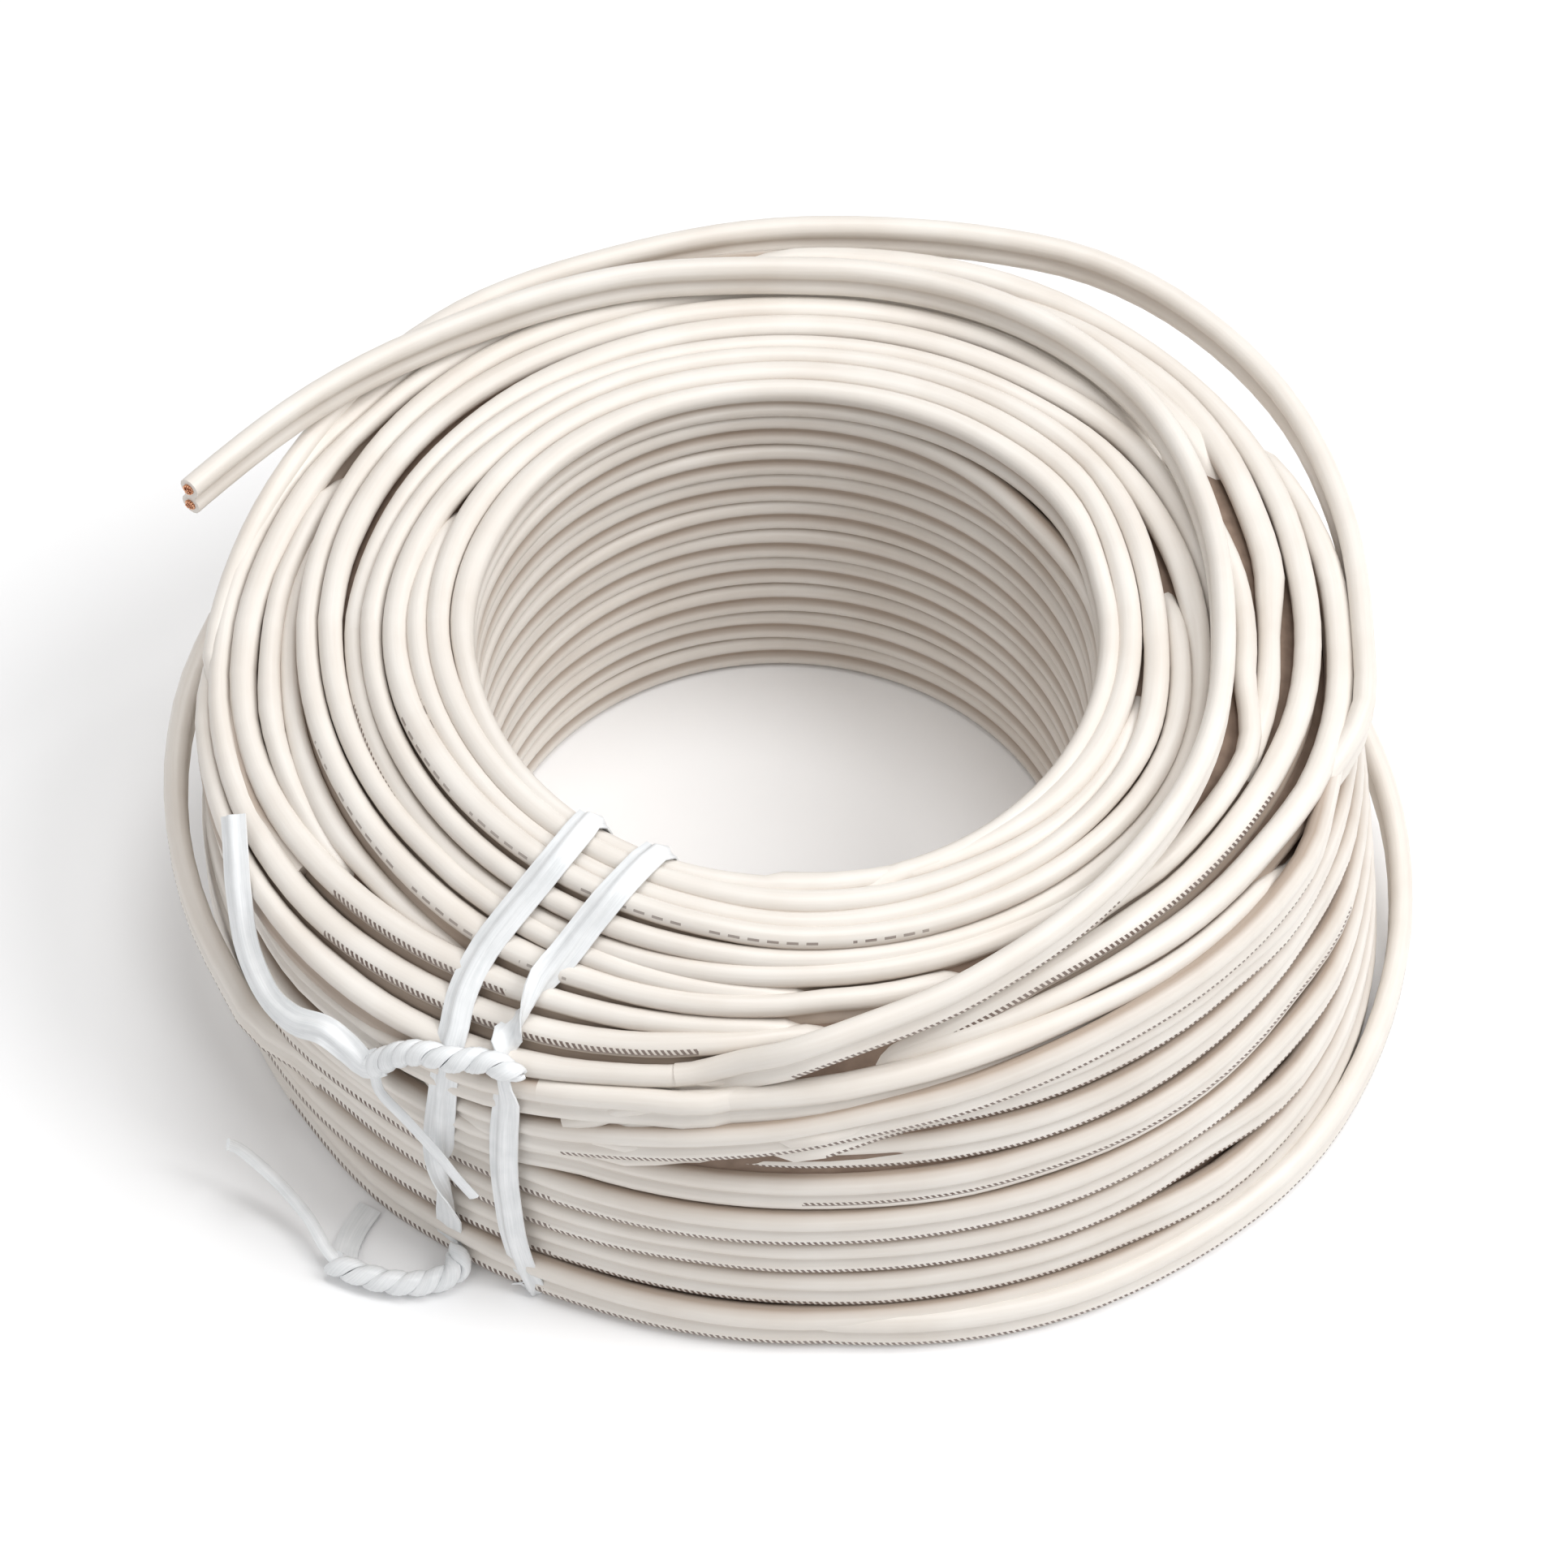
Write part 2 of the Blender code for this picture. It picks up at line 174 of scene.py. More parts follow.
# Grooves seen on the top: angle and radius. Angles past 180 follow a line round again.
RIM = ((-180, 14.15), (0, 14.1), (15, 14.2), (32, 14.4), (50, 14.25), (70, 14.1), (180, 14.15))
GROOVES = {
    "A": ((-100, 14.1), (-90, 14.2), (-60, 14.6), (-40, 14.8), (-20, 14.9), (0, 14.9), (15, 15.02),
          (30, 15.4), (38, 15.38), (50, 15.12), (60, 15.0), (75, 14.82), (90, 14.76), (105, 14.78),
          (120, 14.95), (135, 15.15), (150, 15.25), (180, 15.27), (195, 15.1), (210, 14.95), (225, 14.88),
          (240, 14.9), (255, 14.97), (270, 15.12), (285, 15.35), (300, 15.46), (310, 15.7), (322, 16.0),
          (330, 16.1), (345, 16.08), (360, 16.03), (375, 16.15), (390, 16.5), (396, 16.6), (405, 16.45),
          (420, 16.2), (435, 16.05), (450, 15.95), (465, 15.93), (480, 16.1), (495, 16.32), (510, 16.45),
          (525, 16.42), (540, 16.35), (555, 16.2), (570, 16.05), (585, 16.0), (600, 15.98), (615, 16.05),
          (630, 16.35), (645, 16.45), (660, 16.5), (675, 16.62), (690, 16.68), (700, 16.55), (712, 16.2),
          (720, 16.05)),
    "B": ((140, 16.4), (150, 16.5), (155, 16.7), (165, 16.92), (180, 17.15), (195, 17.0), (210, 16.75),
          (225, 16.65), (240, 16.68), (255, 16.8), (270, 17.05), (285, 17.2), (300, 17.35), (315, 17.6),
          (330, 17.8), (340, 17.75), (350, 17.45), (360, 17.22), (372, 17.25), (382, 17.45), (390, 17.58),
          (400, 17.58), (410, 17.4), (420, 17.15), (435, 17.0), (450, 16.87), (465, 16.87), (480, 17.05),
          (495, 17.25), (510, 17.7), (525, 18.02), (540, 18.27), (555, 18.28), (570, 18.15), (585, 18.05),
          (600, 18.05), (615, 18.1), (630, 18.33), (645, 18.48), (660, 18.62), (675, 18.78), (690, 18.88),
          (705, 18.65), (720, 18.05), (730, 17.75), (740, 17.5)),
    "C": ((-180, 19.3), (-150, 19.3), (-120, 19.4), (-90, 19.15), (-75, 19.12), (-60, 19.2), (-45, 19.4),
          (-30, 19.4), (-15, 19.2), (0, 19.08), (10, 18.95), (20, 18.8), (30, 18.67), (40, 18.45),
          (50, 18.12), (60, 17.92), (75, 17.72), (90, 17.6), (105, 17.6), (120, 17.8), (135, 18.2),
          (150, 18.6), (165, 18.95), (180, 19.3)),
    "D": ((-180, 19.8), (-165, 19.75), (-150, 19.8), (-135, 19.87), (-120, 20.0), (-105, 20.12),
          (-90, 20.2), (-80, 20.25), (-70, 20.1), (-60, 20.0), (-50, 19.88), (-40, 19.75), (-20, 19.8),
          (0, 20.0), (15, 20.0), (28, 19.95), (35, 19.95), (45, 19.65), (50, 19.45), (60, 19.2),
          (75, 19.05), (90, 18.9), (105, 18.87), (120, 18.95), (135, 19.15), (145, 19.3), (155, 19.5),
          (165, 19.6), (180, 19.8)),
    "E": ((-180, 20.1), (-165, 19.98), (-150, 19.9), (-135, 19.87), (135, 19.15), (145, 19.35), (150, 19.7),
          (160, 19.92), (170, 20.08), (180, 20.1)),
    "F": ((-180, 21.18), (-165, 21.1), (-150, 21.05), (-135, 20.95), (-120, 20.95), (-110, 21.05),
          (-100, 20.95), (-90, 20.65), (-83, 20.35), (28, 19.95), (40, 20.3), (50, 20.5), (60, 20.6),
          (70, 20.4), (80, 20.15), (90, 20.0), (100, 20.0), (110, 20.15), (120, 20.3), (130, 20.6),
          (140, 20.87), (150, 21.05), (165, 21.18), (180, 21.18)),
    "G": ((-180, 22.15), (-165, 22.2), (-150, 22.3), (-140, 22.45), (-130, 22.65), (-121, 22.75),
          (-110, 22.45), (-100, 22.15), (-90, 21.9), (-80, 21.7), (-75, 21.4), (-70, 20.95), (-65, 20.6),
          (-60, 20.3), (40, 21.3), (50, 21.5), (60, 21.55), (70, 21.4), (80, 21.15), (90, 21.05),
          (100, 21.1), (110, 21.2), (120, 21.5), (130, 21.8), (140, 21.97), (150, 22.1), (165, 22.15),
          (180, 22.15)),
    "H": ((150, 22.15), (160, 22.35), (170, 22.6), (180, 22.8), (190, 22.97), (200, 23.3), (210, 23.58),
          (215, 23.6), (220, 23.4), (230, 23.05), (238, 22.75)),
    "I": ((130, 21.8), (140, 22.1), (150, 22.5), (160, 22.78), (170, 23.1), (175, 23.4), (180, 23.57),
          (185, 23.75), (190, 24.0), (195, 24.2), (200, 24.22), (205, 24.15), (210, 23.95), (218, 23.6)),
    "J": ((60, 22.5), (70, 22.2), (80, 21.95), (90, 21.75), (100, 21.75), (110, 22.1), (120, 22.45),
          (130, 22.8), (140, 23.0), (150, 23.3), (155, 23.6), (160, 23.9), (170, 24.35), (180, 24.87),
          (185, 25.05), (190, 25.25), (200, 25.45), (207, 25.5), (215, 25.35), (225, 25.05), (235, 24.65),
          (240, 24.4), (250, 23.75), (255, 23.4), (260, 22.95), (265, 22.75), (272, 22.3), (280, 21.8)),
    "K": ((80, 22.8), (90, 22.7), (100, 22.7), (110, 23.0), (120, 23.3), (130, 23.65), (140, 23.95),
          (150, 24.4), (165, 25.2), (180, 25.7), (190, 26.2), (197, 26.5), (205, 26.75), (210, 26.85),
          (220, 26.9), (230, 26.6), (241, 26.1), (250, 25.6), (255, 25.15), (260, 24.7), (265, 24.05),
          (270, 23.3), (275, 22.7), (280, 22.2), (284, 21.7)),
    "M": ((-150, 27.8), (-140, 28.2), (-130, 28.35), (-120, 28.1), (-114, 27.7), (-110, 27.2), (-105, 26.6),
          (-100, 26.1), (-95, 25.6), (-90, 25.1), (-85, 24.5), (-80, 23.95), (-75, 23.4), (-70, 22.75),
          (-65, 22.25), (-60, 21.85), (-55, 21.55), (-50, 21.45), (-45, 21.5), (-40, 21.7), (-30, 21.9),
          (-20, 22.15), (-10, 22.35), (0, 22.25), (5, 22.5), (10, 22.9), (20, 23.15), (30, 23.5),
          (40, 23.65), (50, 23.5), (60, 23.25), (70, 22.85), (80, 22.5), (90, 22.35), (105, 22.2)),
    "N": ((-86, 24.3), (-80, 23.95), (-75, 23.6), (-70, 23.4), (-65, 23.3), (-60, 23.15), (-50, 23.05),
          (-40, 23.1), (-30, 23.3), (-20, 23.6), (-10, 23.95), (0, 24.1), (10, 24.2), (20, 24.45),
          (30, 24.6), (45, 24.5), (60, 24.3), (70, 24.0), (80, 23.6), (90, 23.2), (100, 22.8)),
    "O": ((-86, 24.4), (-80, 24.0), (-75, 24.0), (-65, 24.05), (-60, 24.15), (-55, 24.3), (-50, 24.5),
          (-45, 24.65), (-35, 24.85), (-30, 24.97), (-25, 25.2), (-20, 25.45), (-10, 25.6), (0, 25.5),
          (10, 25.5), (20, 25.2), (30, 24.75), (36, 24.6)),
    "P": ((-125, 28.4), (-118, 28.05), (-112, 27.75), (-105, 27.3), (-100, 27.0), (-90, 26.75),
          (-85, 26.55), (-80, 26.25), (-75, 26.05), (-70, 25.85), (-65, 25.7), (-60, 25.55), (-50, 25.42),
          (-30, 25.42), (-20, 25.5)),
    "Q": ((-15, 21.2), (0, 21.2), (10, 21.15), (18, 21.0), (24, 20.95)),
    "R": ((-15, 21.2), (0, 21.25), (10, 21.45), (20, 21.8), (30, 22.05), (40, 22.2), (50, 22.5), (60, 22.7),
          (70, 22.75)),
}


SEEN_SHIFT = 0.27        # how far nearer the camera a groove is seen than its two cords touch


def contact(seen_rows):
    """Seen groove on the top as a function of angle: the radius at which two cords touch."""
    rows = []
    for angle, seen in seen_rows:
        near, radius, _ = seen_on_top(angle, seen)
        rows.append((near, radius + SEEN_SHIFT * math.sin(math.radians(near))))
    radius_of = curve(rows)
    return lambda angle: radius_of(angle)[0]


def any_angle(groove):
    """The same groove as a function of any angle, for one that closes."""
    return lambda angle: groove((angle + 180.0) % 360.0 - 180.0)


line = {name: contact(rows) for name, rows in GROOVES.items()}
loop = {name: any_angle(line[name]) for name in "CDEFG"}
rim_radius = curve(RIM)
rim = any_angle(lambda angle: rim_radius(angle)[0])


def landed(start, lift):
    """Where the line of sight through a point meets the coil's surface, raised by lift."""
    sight = (start - Vector(EYE)).normalized()
    near, far = -14.0, 14.0
    for _ in range(40):
        middle = (near + far) / 2
        point = start + sight * middle
        angle, radius = polar(point, 0.0)
        if point.z < top(angle, radius) + lift and radius < outer(angle, point.z) + lift:
            far = middle
        else:
            near = middle
    return start + sight * far


def smooth_step(value):
    """0 up to 0, 1 from 1 on, and smooth between them."""
    t = min(max(value, 0.0), 1.0)
    return t * t * (3 - 2 * t)


# Outline of the cord: where each conductor's arc starts, 0 being outwards and 90 up
UPPER_ARC = -55
LOWER_ARC = 125
ARC = 290                # how far round each conductor its arc goes
ARC_POINTS = 12
UPPER_SIDE = (ARC_POINTS - 1) / (2 * ARC_POINTS)  # share of the map that the upper one takes


def around_cord(turn, lower=False):
    """Place on the map round the cord of a point of a conductor, 0 being outwards, 90 up."""
    if lower:
        return 0.5 + (turn - LOWER_ARC) / ARC * UPPER_SIDE
    return (turn - UPPER_ARC) / ARC * UPPER_SIDE


class Nodes:
    """Short way to add shader nodes to a new material."""

    def __init__(self, name):
        self.material = bpy.data.materials.new(name)
        self.material.use_nodes = True
        self.tree = self.material.node_tree
        self.shader = self.tree.nodes["Principled BSDF"]

    def put(self, value, socket):
        if isinstance(value, bpy.types.NodeSocket):
            self.tree.links.new(value, socket)
        else:
            socket.default_value = value

    def maths(self, operation, *values, clamp=False):
        made = self.tree.nodes.new("ShaderNodeMath")
        made.operation = operation
        made.use_clamp = clamp
        for value, socket in zip(values, made.inputs):
            self.put(value, socket)
        return made.outputs[0]

    def between(self, value, low, high):
        """1 where a value lies between two others, 0 elsewhere."""
        return self.maths("MULTIPLY", self.maths("GREATER_THAN", value, low),
                          self.maths("LESS_THAN", value, high))

    def mix(self, factor, first, second, blend="MIX"):
        made = self.tree.nodes.new("ShaderNodeMix")
        made.data_type = "RGBA"
        made.blend_type = blend
        self.put(factor, made.inputs[0])
        self.put((*first, 1.0) if isinstance(first, tuple) else first, made.inputs[6])
        self.put((*second, 1.0) if isinstance(second, tuple) else second, made.inputs[7])
        return made.outputs[2]

    def noise(self, vector, scale, detail=2.0, roughness=0.5):
        made = self.tree.nodes.new("ShaderNodeTexNoise")
        self.put(vector, made.inputs["Vector"])
        made.inputs["Scale"].default_value = scale
        made.inputs["Detail"].default_value = detail
        made.inputs["Roughness"].default_value = roughness
        return made.outputs["Fac"]

    def ramp(self, factor, stops):
        made = self.tree.nodes.new("ShaderNodeValToRGB")
        self.put(factor, made.inputs[0])
        points = made.color_ramp.elements
        while len(points) < len(stops):
            points.new(0.5)
        for point, (position, value) in zip(points, stops):
            point.position = position
            point.color = (value, value, value, 1.0)
        return made.outputs[0]

    def map_along(self):
        """Distance along the cord in conductors, and place round it from 0 to 1."""
        uv = self.tree.nodes.new("ShaderNodeUVMap")
        uv.uv_map = "Along"
        parts = self.tree.nodes.new("ShaderNodeSeparateXYZ")
        self.tree.links.new(uv.outputs[0], parts.inputs[0])
        return parts.outputs[0], parts.outputs[1]

    def joined(self, x, y):
        made = self.tree.nodes.new("ShaderNodeCombineXYZ")
        for value, socket in zip((x, y), made.inputs):
            self.put(value, socket)
        return made.outputs[0]

    def in_place(self):
        made = self.tree.nodes.new("ShaderNodeTexCoord")
        return made.outputs["Object"]

    def bump(self, height, strength, distance):
        made = self.tree.nodes.new("ShaderNodeBump")
        made.inputs["Strength"].default_value = strength
        made.inputs["Distance"].default_value = distance
        self.put(height, made.inputs["Height"])
        self.tree.links.new(made.outputs[0], self.shader.inputs["Normal"])


IVORY = (0.79, 0.75, 0.70)
IVORY_DEEP = (0.72, 0.665, 0.605)
SHADE = (0.50, 0.41, 0.345)
MARK = (0.105, 0.058, 0.042)
TICK_PERIOD = 0.277      # conductors from one slanted mark to the next
TICK_WIDTH = 0.55        # share of it that is marked
DASHES = (0.83, 0.6)     # conductors from one dash to the next, and the share that is marked
DASH_GROUPS = (6.1, 0.8)


def insulation(name, recess, tick_zone=None, dash_zone=None):
    """Ivory plastic of the wire, with painted shade browner where turns touch, and rows of slanted marks
    with a painted shadow line below them.
    """
    made = Nodes(name)
    along, across = made.map_along()
    cloud = made.noise(made.in_place(), 55.0, 3.0)
    streak = made.noise(made.joined(made.maths("MULTIPLY", along, 0.12),
                                    made.maths("MULTIPLY", across, 22.0)), 1.0, 3.0, 0.6)
    tone = made.maths("ADD", made.maths("MULTIPLY", cloud, 0.6),
                      made.maths("MULTIPLY", streak, 0.4))
    colour = made.mix(made.ramp(tone, ((0.36, 0.0), (0.64, 1.0))), IVORY_DEEP, IVORY)
    # Painted shade: the recess ramp round the cord, varied a little by the streaks, blends the colour
    # towards SHADE where turns touch
    depth = made.ramp(across, recess)
    painted_shade = made.maths("MULTIPLY", depth, made.maths("MULTIPLY_ADD", streak, 0.5, 0.6), clamp=True)
    colour = made.mix(painted_shade, colour, made.mix(1.0, colour, SHADE, "MULTIPLY"))
    if tick_zone:
        low, high = tick_zone
        share = made.maths("DIVIDE", made.maths("SUBTRACT", across, low), high - low)
        inside = made.between(share, 0.0, 1.0)
        wave = made.maths("FRACT", made.maths("ADD", made.maths("DIVIDE", along, TICK_PERIOD),
                                              made.maths("MULTIPLY", share, 0.5)))
        bar = made.maths("LESS_THAN", wave, TICK_WIDTH)
        wear = made.maths("MULTIPLY_ADD", cloud, 0.5, 0.62, clamp=True)
        colour = made.mix(made.maths("MULTIPLY", made.maths("MULTIPLY", inside, bar), wear),
                          colour, MARK)
        # Painted shadow: a band just below the marks, darkened in the marks' colour, stands for the shadow
        # in the gap to the next cord down
        under = made.between(share, -0.45, 0.0)
        colour = made.mix(made.maths("MULTIPLY", under, 0.62), colour, MARK)
    if dash_zone:
        low, high = dash_zone
        inside = made.between(across, low, high)
        short, long = (made.maths("LESS_THAN", made.maths("FRACT", made.maths("DIVIDE", along, period)),
                                  share) for period, share in (DASHES, DASH_GROUPS))
        dash = made.maths("MULTIPLY", made.maths("MULTIPLY", short, long), inside)
        colour = made.mix(made.maths("MULTIPLY", dash, made.maths("MULTIPLY_ADD", streak, 0.7, 0.25)),
                          colour, MARK)
    made.tree.links.new(colour, made.shader.inputs["Base Color"])
    made.put(made.maths("MULTIPLY_ADD", streak, 0.22, 0.33), made.shader.inputs["Roughness"])
    made.bump(made.maths("ADD", streak, made.maths("MULTIPLY", cloud, 0.5)), 0.25, 0.0002)
    return made.material


# How strong the painted shade is at each place round a cord's map, from 0 to 1: strongest where the cord
# touches its neighbours
WALL_RECESS = ((0.0, 0.55), (0.03, 0.16), (0.07, 0.0), (0.15, 0.1), (0.19, 0.45), (0.23, 1.0),
               (0.5, 1.0), (0.73, 1.0), (0.77, 0.7), (0.81, 0.25), (0.85, 0.0), (0.93, 0.0),
               (0.97, 0.16), (1.0, 0.55))
TOP_RECESS = ((0.0, 0.85), (0.05, 0.65), (0.08, 0.35), (0.11, 0.12), (0.15, 0.0), (0.31, 0.0),
              (0.35, 0.12), (0.38, 0.35), (0.41, 0.65), (0.458, 0.85), (1.0, 1.0))
RIM_RECESS = ((0.0, 0.85), (0.05, 0.65), (0.08, 0.35), (0.11, 0.12), (0.15, 0.0), (0.42, 0.0),
              (0.45, 0.4), (0.48, 1.0), (0.51, 0.5), (0.54, 0.0), (0.64, 0.0), (0.70, 0.6),
              (0.73, 1.0), (1.0, 1.0))
BORE_RECESS = ((0.0, 1.0), (0.03, 0.6), (0.06, 0.15), (0.09, 0.0), (0.15, 0.0), (0.19, 0.4),
               (0.23, 1.0), (0.5, 1.0), (0.73, 1.0), (0.77, 0.5), (0.81, 0.1), (0.87, 0.0),
               (0.9, 0.15), (0.93, 0.6), (0.96, 1.0), (1.0, 1.0))
FREE_RECESS = ((0.0, 0.35), (0.03, 0.1), (0.06, 0.0), (0.42, 0.0), (0.45, 0.12), (0.48, 0.35),
               (0.51, 0.12), (0.54, 0.0), (0.96, 0.0), (0.98, 0.12), (1.0, 0.35))
LOW_TICKS = (around_cord(334, True), around_cord(366, True))
HIGH_TICKS = (around_cord(3), around_cord(32))
WALL_WIRE = (insulation("wire on the wall", WALL_RECESS),
             insulation("wire on the wall marked", WALL_RECESS, LOW_TICKS),
             insulation("wire on the wall marked high", WALL_RECESS,
                        (around_cord(374, True), around_cord(388, True))),
             insulation("wire on the wall marked at the left", WALL_RECESS,
                        (around_cord(350, True), around_cord(380, True))))
TOP_WIRE = (insulation("wire on the top", TOP_RECESS),
            insulation("wire on the top marked", TOP_RECESS, HIGH_TICKS),
            insulation("wire on the top dashed", TOP_RECESS, None,
                       (around_cord(14), around_cord(30))),
            insulation("wire at the rim", RIM_RECESS))
BORE_WIRE = (insulation("wire in the bore", BORE_RECESS),)
FREE_WIRE = (insulation("loose wire", FREE_RECESS),
             insulation("loose wire marked", FREE_RECESS, LOW_TICKS))


def plastic():
    made = Nodes("white tie plastic")
    along, across = made.map_along()
    cloud = made.noise(made.in_place(), 180.0, 3.0)
    streak = made.noise(made.joined(made.maths("MULTIPLY", along, 0.4),
                                    made.maths("MULTIPLY", across, 30.0)), 1.0, 3.0)
    tone = made.maths("ADD", made.maths("MULTIPLY", cloud, 0.4), made.maths("MULTIPLY", streak, 0.6))
    colour = made.mix(made.ramp(tone, ((0.3, 0.0), (0.65, 1.0))), (0.70, 0.72, 0.73),
                      (0.88, 0.89, 0.90))
    made.tree.links.new(colour, made.shader.inputs["Base Color"])
    made.put(made.maths("MULTIPLY_ADD", streak, 0.2, 0.22), made.shader.inputs["Roughness"])
    made.bump(tone, 0.4, 0.0002)
    return made.material


def bare_copper():
    made = Nodes("drawn copper")
    along, across = made.map_along()
    streak = made.noise(made.joined(made.maths("MULTIPLY", along, 0.6),
                                    made.maths("MULTIPLY", across, 9.0)), 2.0, 3.0)
    colour = made.mix(streak, (0.60, 0.27, 0.14), (0.86, 0.47, 0.29))
    made.tree.links.new(colour, made.shader.inputs["Base Color"])
    made.shader.inputs["Metallic"].default_value = 1.0
    made.put(made.maths("MULTIPLY_ADD", streak, 0.25, 0.22), made.shader.inputs["Roughness"])
    return made.material


def packing_in_painted_shade():
    made = Nodes("turns deep inside in painted shade")
    cloud = made.noise(made.in_place(), 300.0, 2.0)
    # Dark brown is painted shade: the turns deep inside are the same ivory wire, only in shadow
    colour = made.mix(cloud, (0.16, 0.105, 0.075), (0.32, 0.235, 0.18))
    made.tree.links.new(colour, made.shader.inputs["Base Color"])
    made.shader.inputs["Roughness"].default_value = 0.8
    return made.material


PLASTIC = (plastic(),)
COPPER = (bare_copper(),)
PACKING_IN_PAINTED_SHADE = (packing_in_painted_shade(),)

STEP = 3                 # degrees between sections along the turns
COARSE = 4               # the same for what hardly shows
SINK = 0.75              # how far a squeezed cord dives for each unit of lost width
DIVE = 1.9               # how far a cord dives under its neighbours where it ends
UP = Vector((0, 0, 1))


def cord_section():
    """Upright flat cord's outline: (sideways, up), from the upper conductor round the lower."""
    rows = []
    for middle, start in ((ROUND, UPPER_ARC), (-ROUND, LOWER_ARC)):
        for k in range(ARC_POINTS):
            turn = math.radians(start + ARC * k / (ARC_POINTS - 1))
            rows.append((ROUND * math.cos(turn), middle + ROUND * math.sin(turn)))
    return rows


SECTION = cord_section()


def add(name, data):
    """New object in the scene."""
    obj = bpy.data.objects.new(name, data)
    bpy.context.scene.collection.objects.link(obj)
    return obj


class Builder:
    """Collects swept forms into one mesh with a map along and round each of them."""

    def __init__(self):
        self.vertices = []
        self.faces = []
        self.marks = []
        self.uvs = []

    def sweep(self, points, ups, sections, marks=None, closed=False, flip=False):
        """Sections of (side, up) carried along points, in conductors; ups give their tilt."""
        base = len(self.vertices)
        count = len(points)
        size = len(sections[0])
        lengths = [0.0]
        for i in range(1, count):
            lengths.append(lengths[-1] + (points[i] - points[i - 1]).length)
        for i, point in enumerate(points):
            before = points[i - 1] if closed or i else points[0]
            after = points[(i + 1) % count] if closed or i < count - 1 else points[-1]
            along = (after - before).normalized()
            side = along.cross(ups[i]).normalized()
            rise = side.cross(along)
            for x, y in sections[i]:
                corner = point + side * x + rise * y
                corner.z = max(corner.z, 0.01)
                self.vertices.append(place(corner))
        for i in range(count if closed else count - 1):
            after = (i + 1) % count
            start = lengths[i]
            end = lengths[after] if after else start + (points[0] - points[i]).length
            for k in range(size):
                other = (k + 1) % size
                self.faces.append((base + i * size + k, base + after * size + k,
                                   base + after * size + other, base + i * size + other))
                self.marks.append(marks[i] if marks else 0)
                low, high = k / size, (k + 1) / size
                if flip:
                    shift = UPPER_SIDE if k < ARC_POINTS else 1.0 + UPPER_SIDE
                    low, high = (shift - low) % 1.0, (shift - high) % 1.0
                    if abs(high - low) > 0.5:
                        high = low
                self.uvs.append(((start, low), (end, low), (end, high), (start, high)))
        if not closed:
            for ring in (0, count - 1):
                order = [base + ring * size + k for k in range(size)]
                if ring == 0:
                    order.reverse()
                self.faces.append(tuple(order))
                self.marks.append(0)
                self.uvs.append(tuple((lengths[ring], 0.2) for _ in range(size)))

    def cord(self, stations, marks=None, closed=False, flip=False, sizes=None):
        """Stations are (angle, radius, height, squash); marks are (start, end, material)."""
        points = [spot(a, r, z) for a, r, z, _ in stations]
        sizes = sizes or [1.0] * len(points)
        sections = [[(x * row[3] * size, y * size) for x, y in SECTION]
                    for row, size in zip(stations, sizes)]
        given = []
        for angle, *_ in stations:
            given.append(next((kind for low, high, kind in marks or () if low <= angle < high), 0))
        self.sweep(points, [UP] * len(points), sections, given, closed, flip)

    def build(self, name, materials, slot, *nodes):
        mesh = bpy.data.meshes.new(name)
        mesh.from_pydata([tuple(v) for v in self.vertices], [], self.faces)
        for surface in materials:
            mesh.materials.append(surface)
        layer = mesh.uv_layers.new(name="Along")
        for face, mark, corners in zip(mesh.polygons, self.marks, self.uvs):
            face.material_index = mark
            face.use_smooth = True
            for index, uv in zip(face.loop_indices, corners):
                layer.data[index].uv = uv
        edit = bmesh.new()
        edit.from_mesh(mesh)
        bmesh.ops.recalc_face_normals(edit, faces=edit.faces)
        for edge in edit.edges:
            if len(edge.link_faces) == 2 and edge.calc_face_angle() > math.radians(50):
                edge.smooth = False
        edit.to_mesh(mesh)
        edit.free()
        obj = add(name, mesh)
        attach(obj, "root")
        if nodes:
            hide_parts(*nodes)
        return obj


def strand_station(angle, low, high, drop=0.0, widest=1.2):
    """Station of a cord between two grooves of the top, against the outer one if they gape."""
    width = high - low
    middle = high - min(width, 2 * ROUND * widest) / 2
    crest = top(angle, middle) - drop - SINK * max(0.0, 1.0 - width)
    squash = min(max(width / (2 * ROUND), 0.94), widest)
    return angle, middle, crest - WIDE, squash


def top_strand(builder, inner, outer_line, start, end, marks=None, drop=0.0, fade=(10, 10),
               widest=1.2):
    """Cord lying between two grooves of the top, diving under its neighbours at its ends."""
    stations = []
    steps = round((end - start) / STEP)
    closed = fade is None
    for i in range(steps if closed else steps + 1):
        angle = start + (end - start) * i / steps
        sunk = drop + 0.05 * math.sin(math.radians(angle * 5 + 40 * start))
        if not closed and fade[0]:
            sunk += DIVE * (1 - smooth_step((angle - start) / fade[0]))
        if not closed and fade[1]:
            sunk += DIVE * (1 - smooth_step((end - angle) / fade[1]))
        stations.append(strand_station(angle, inner(angle), outer_line(angle), sunk, widest))
    builder.cord(stations, marks, closed)


# Free end of the wire: angle and radius of its centreline, as in the part's source
FREE_END = ((-90, 22.4), (-80, 21.6), (-70, 21.1), (-60, 20.65), (-40, 20.15), (-20, 19.9),
            (0, 19.6), (20, 20.15), (40, 21.1), (60, 21.4), (80, 21.1), (90, 20.9), (100, 21.1),
            (110, 21.7), (120, 22.3), (130, 23.1), (140, 24.3), (150, 25.7), (160, 27.3),
            (166, 28.5))
EDGE = 24.0              # past this radius the free end stands out level
RESTING = 1.064          # height of a cord's middle over what it stands on
FREE_START = -100


def strand_to_end(angle):
    """The turn under the ties that the free end comes from."""
    return strand_station(angle, line["K"](angle + 360), line["M"](angle),
                          0.05 * math.sin(math.radians(angle * 5)))


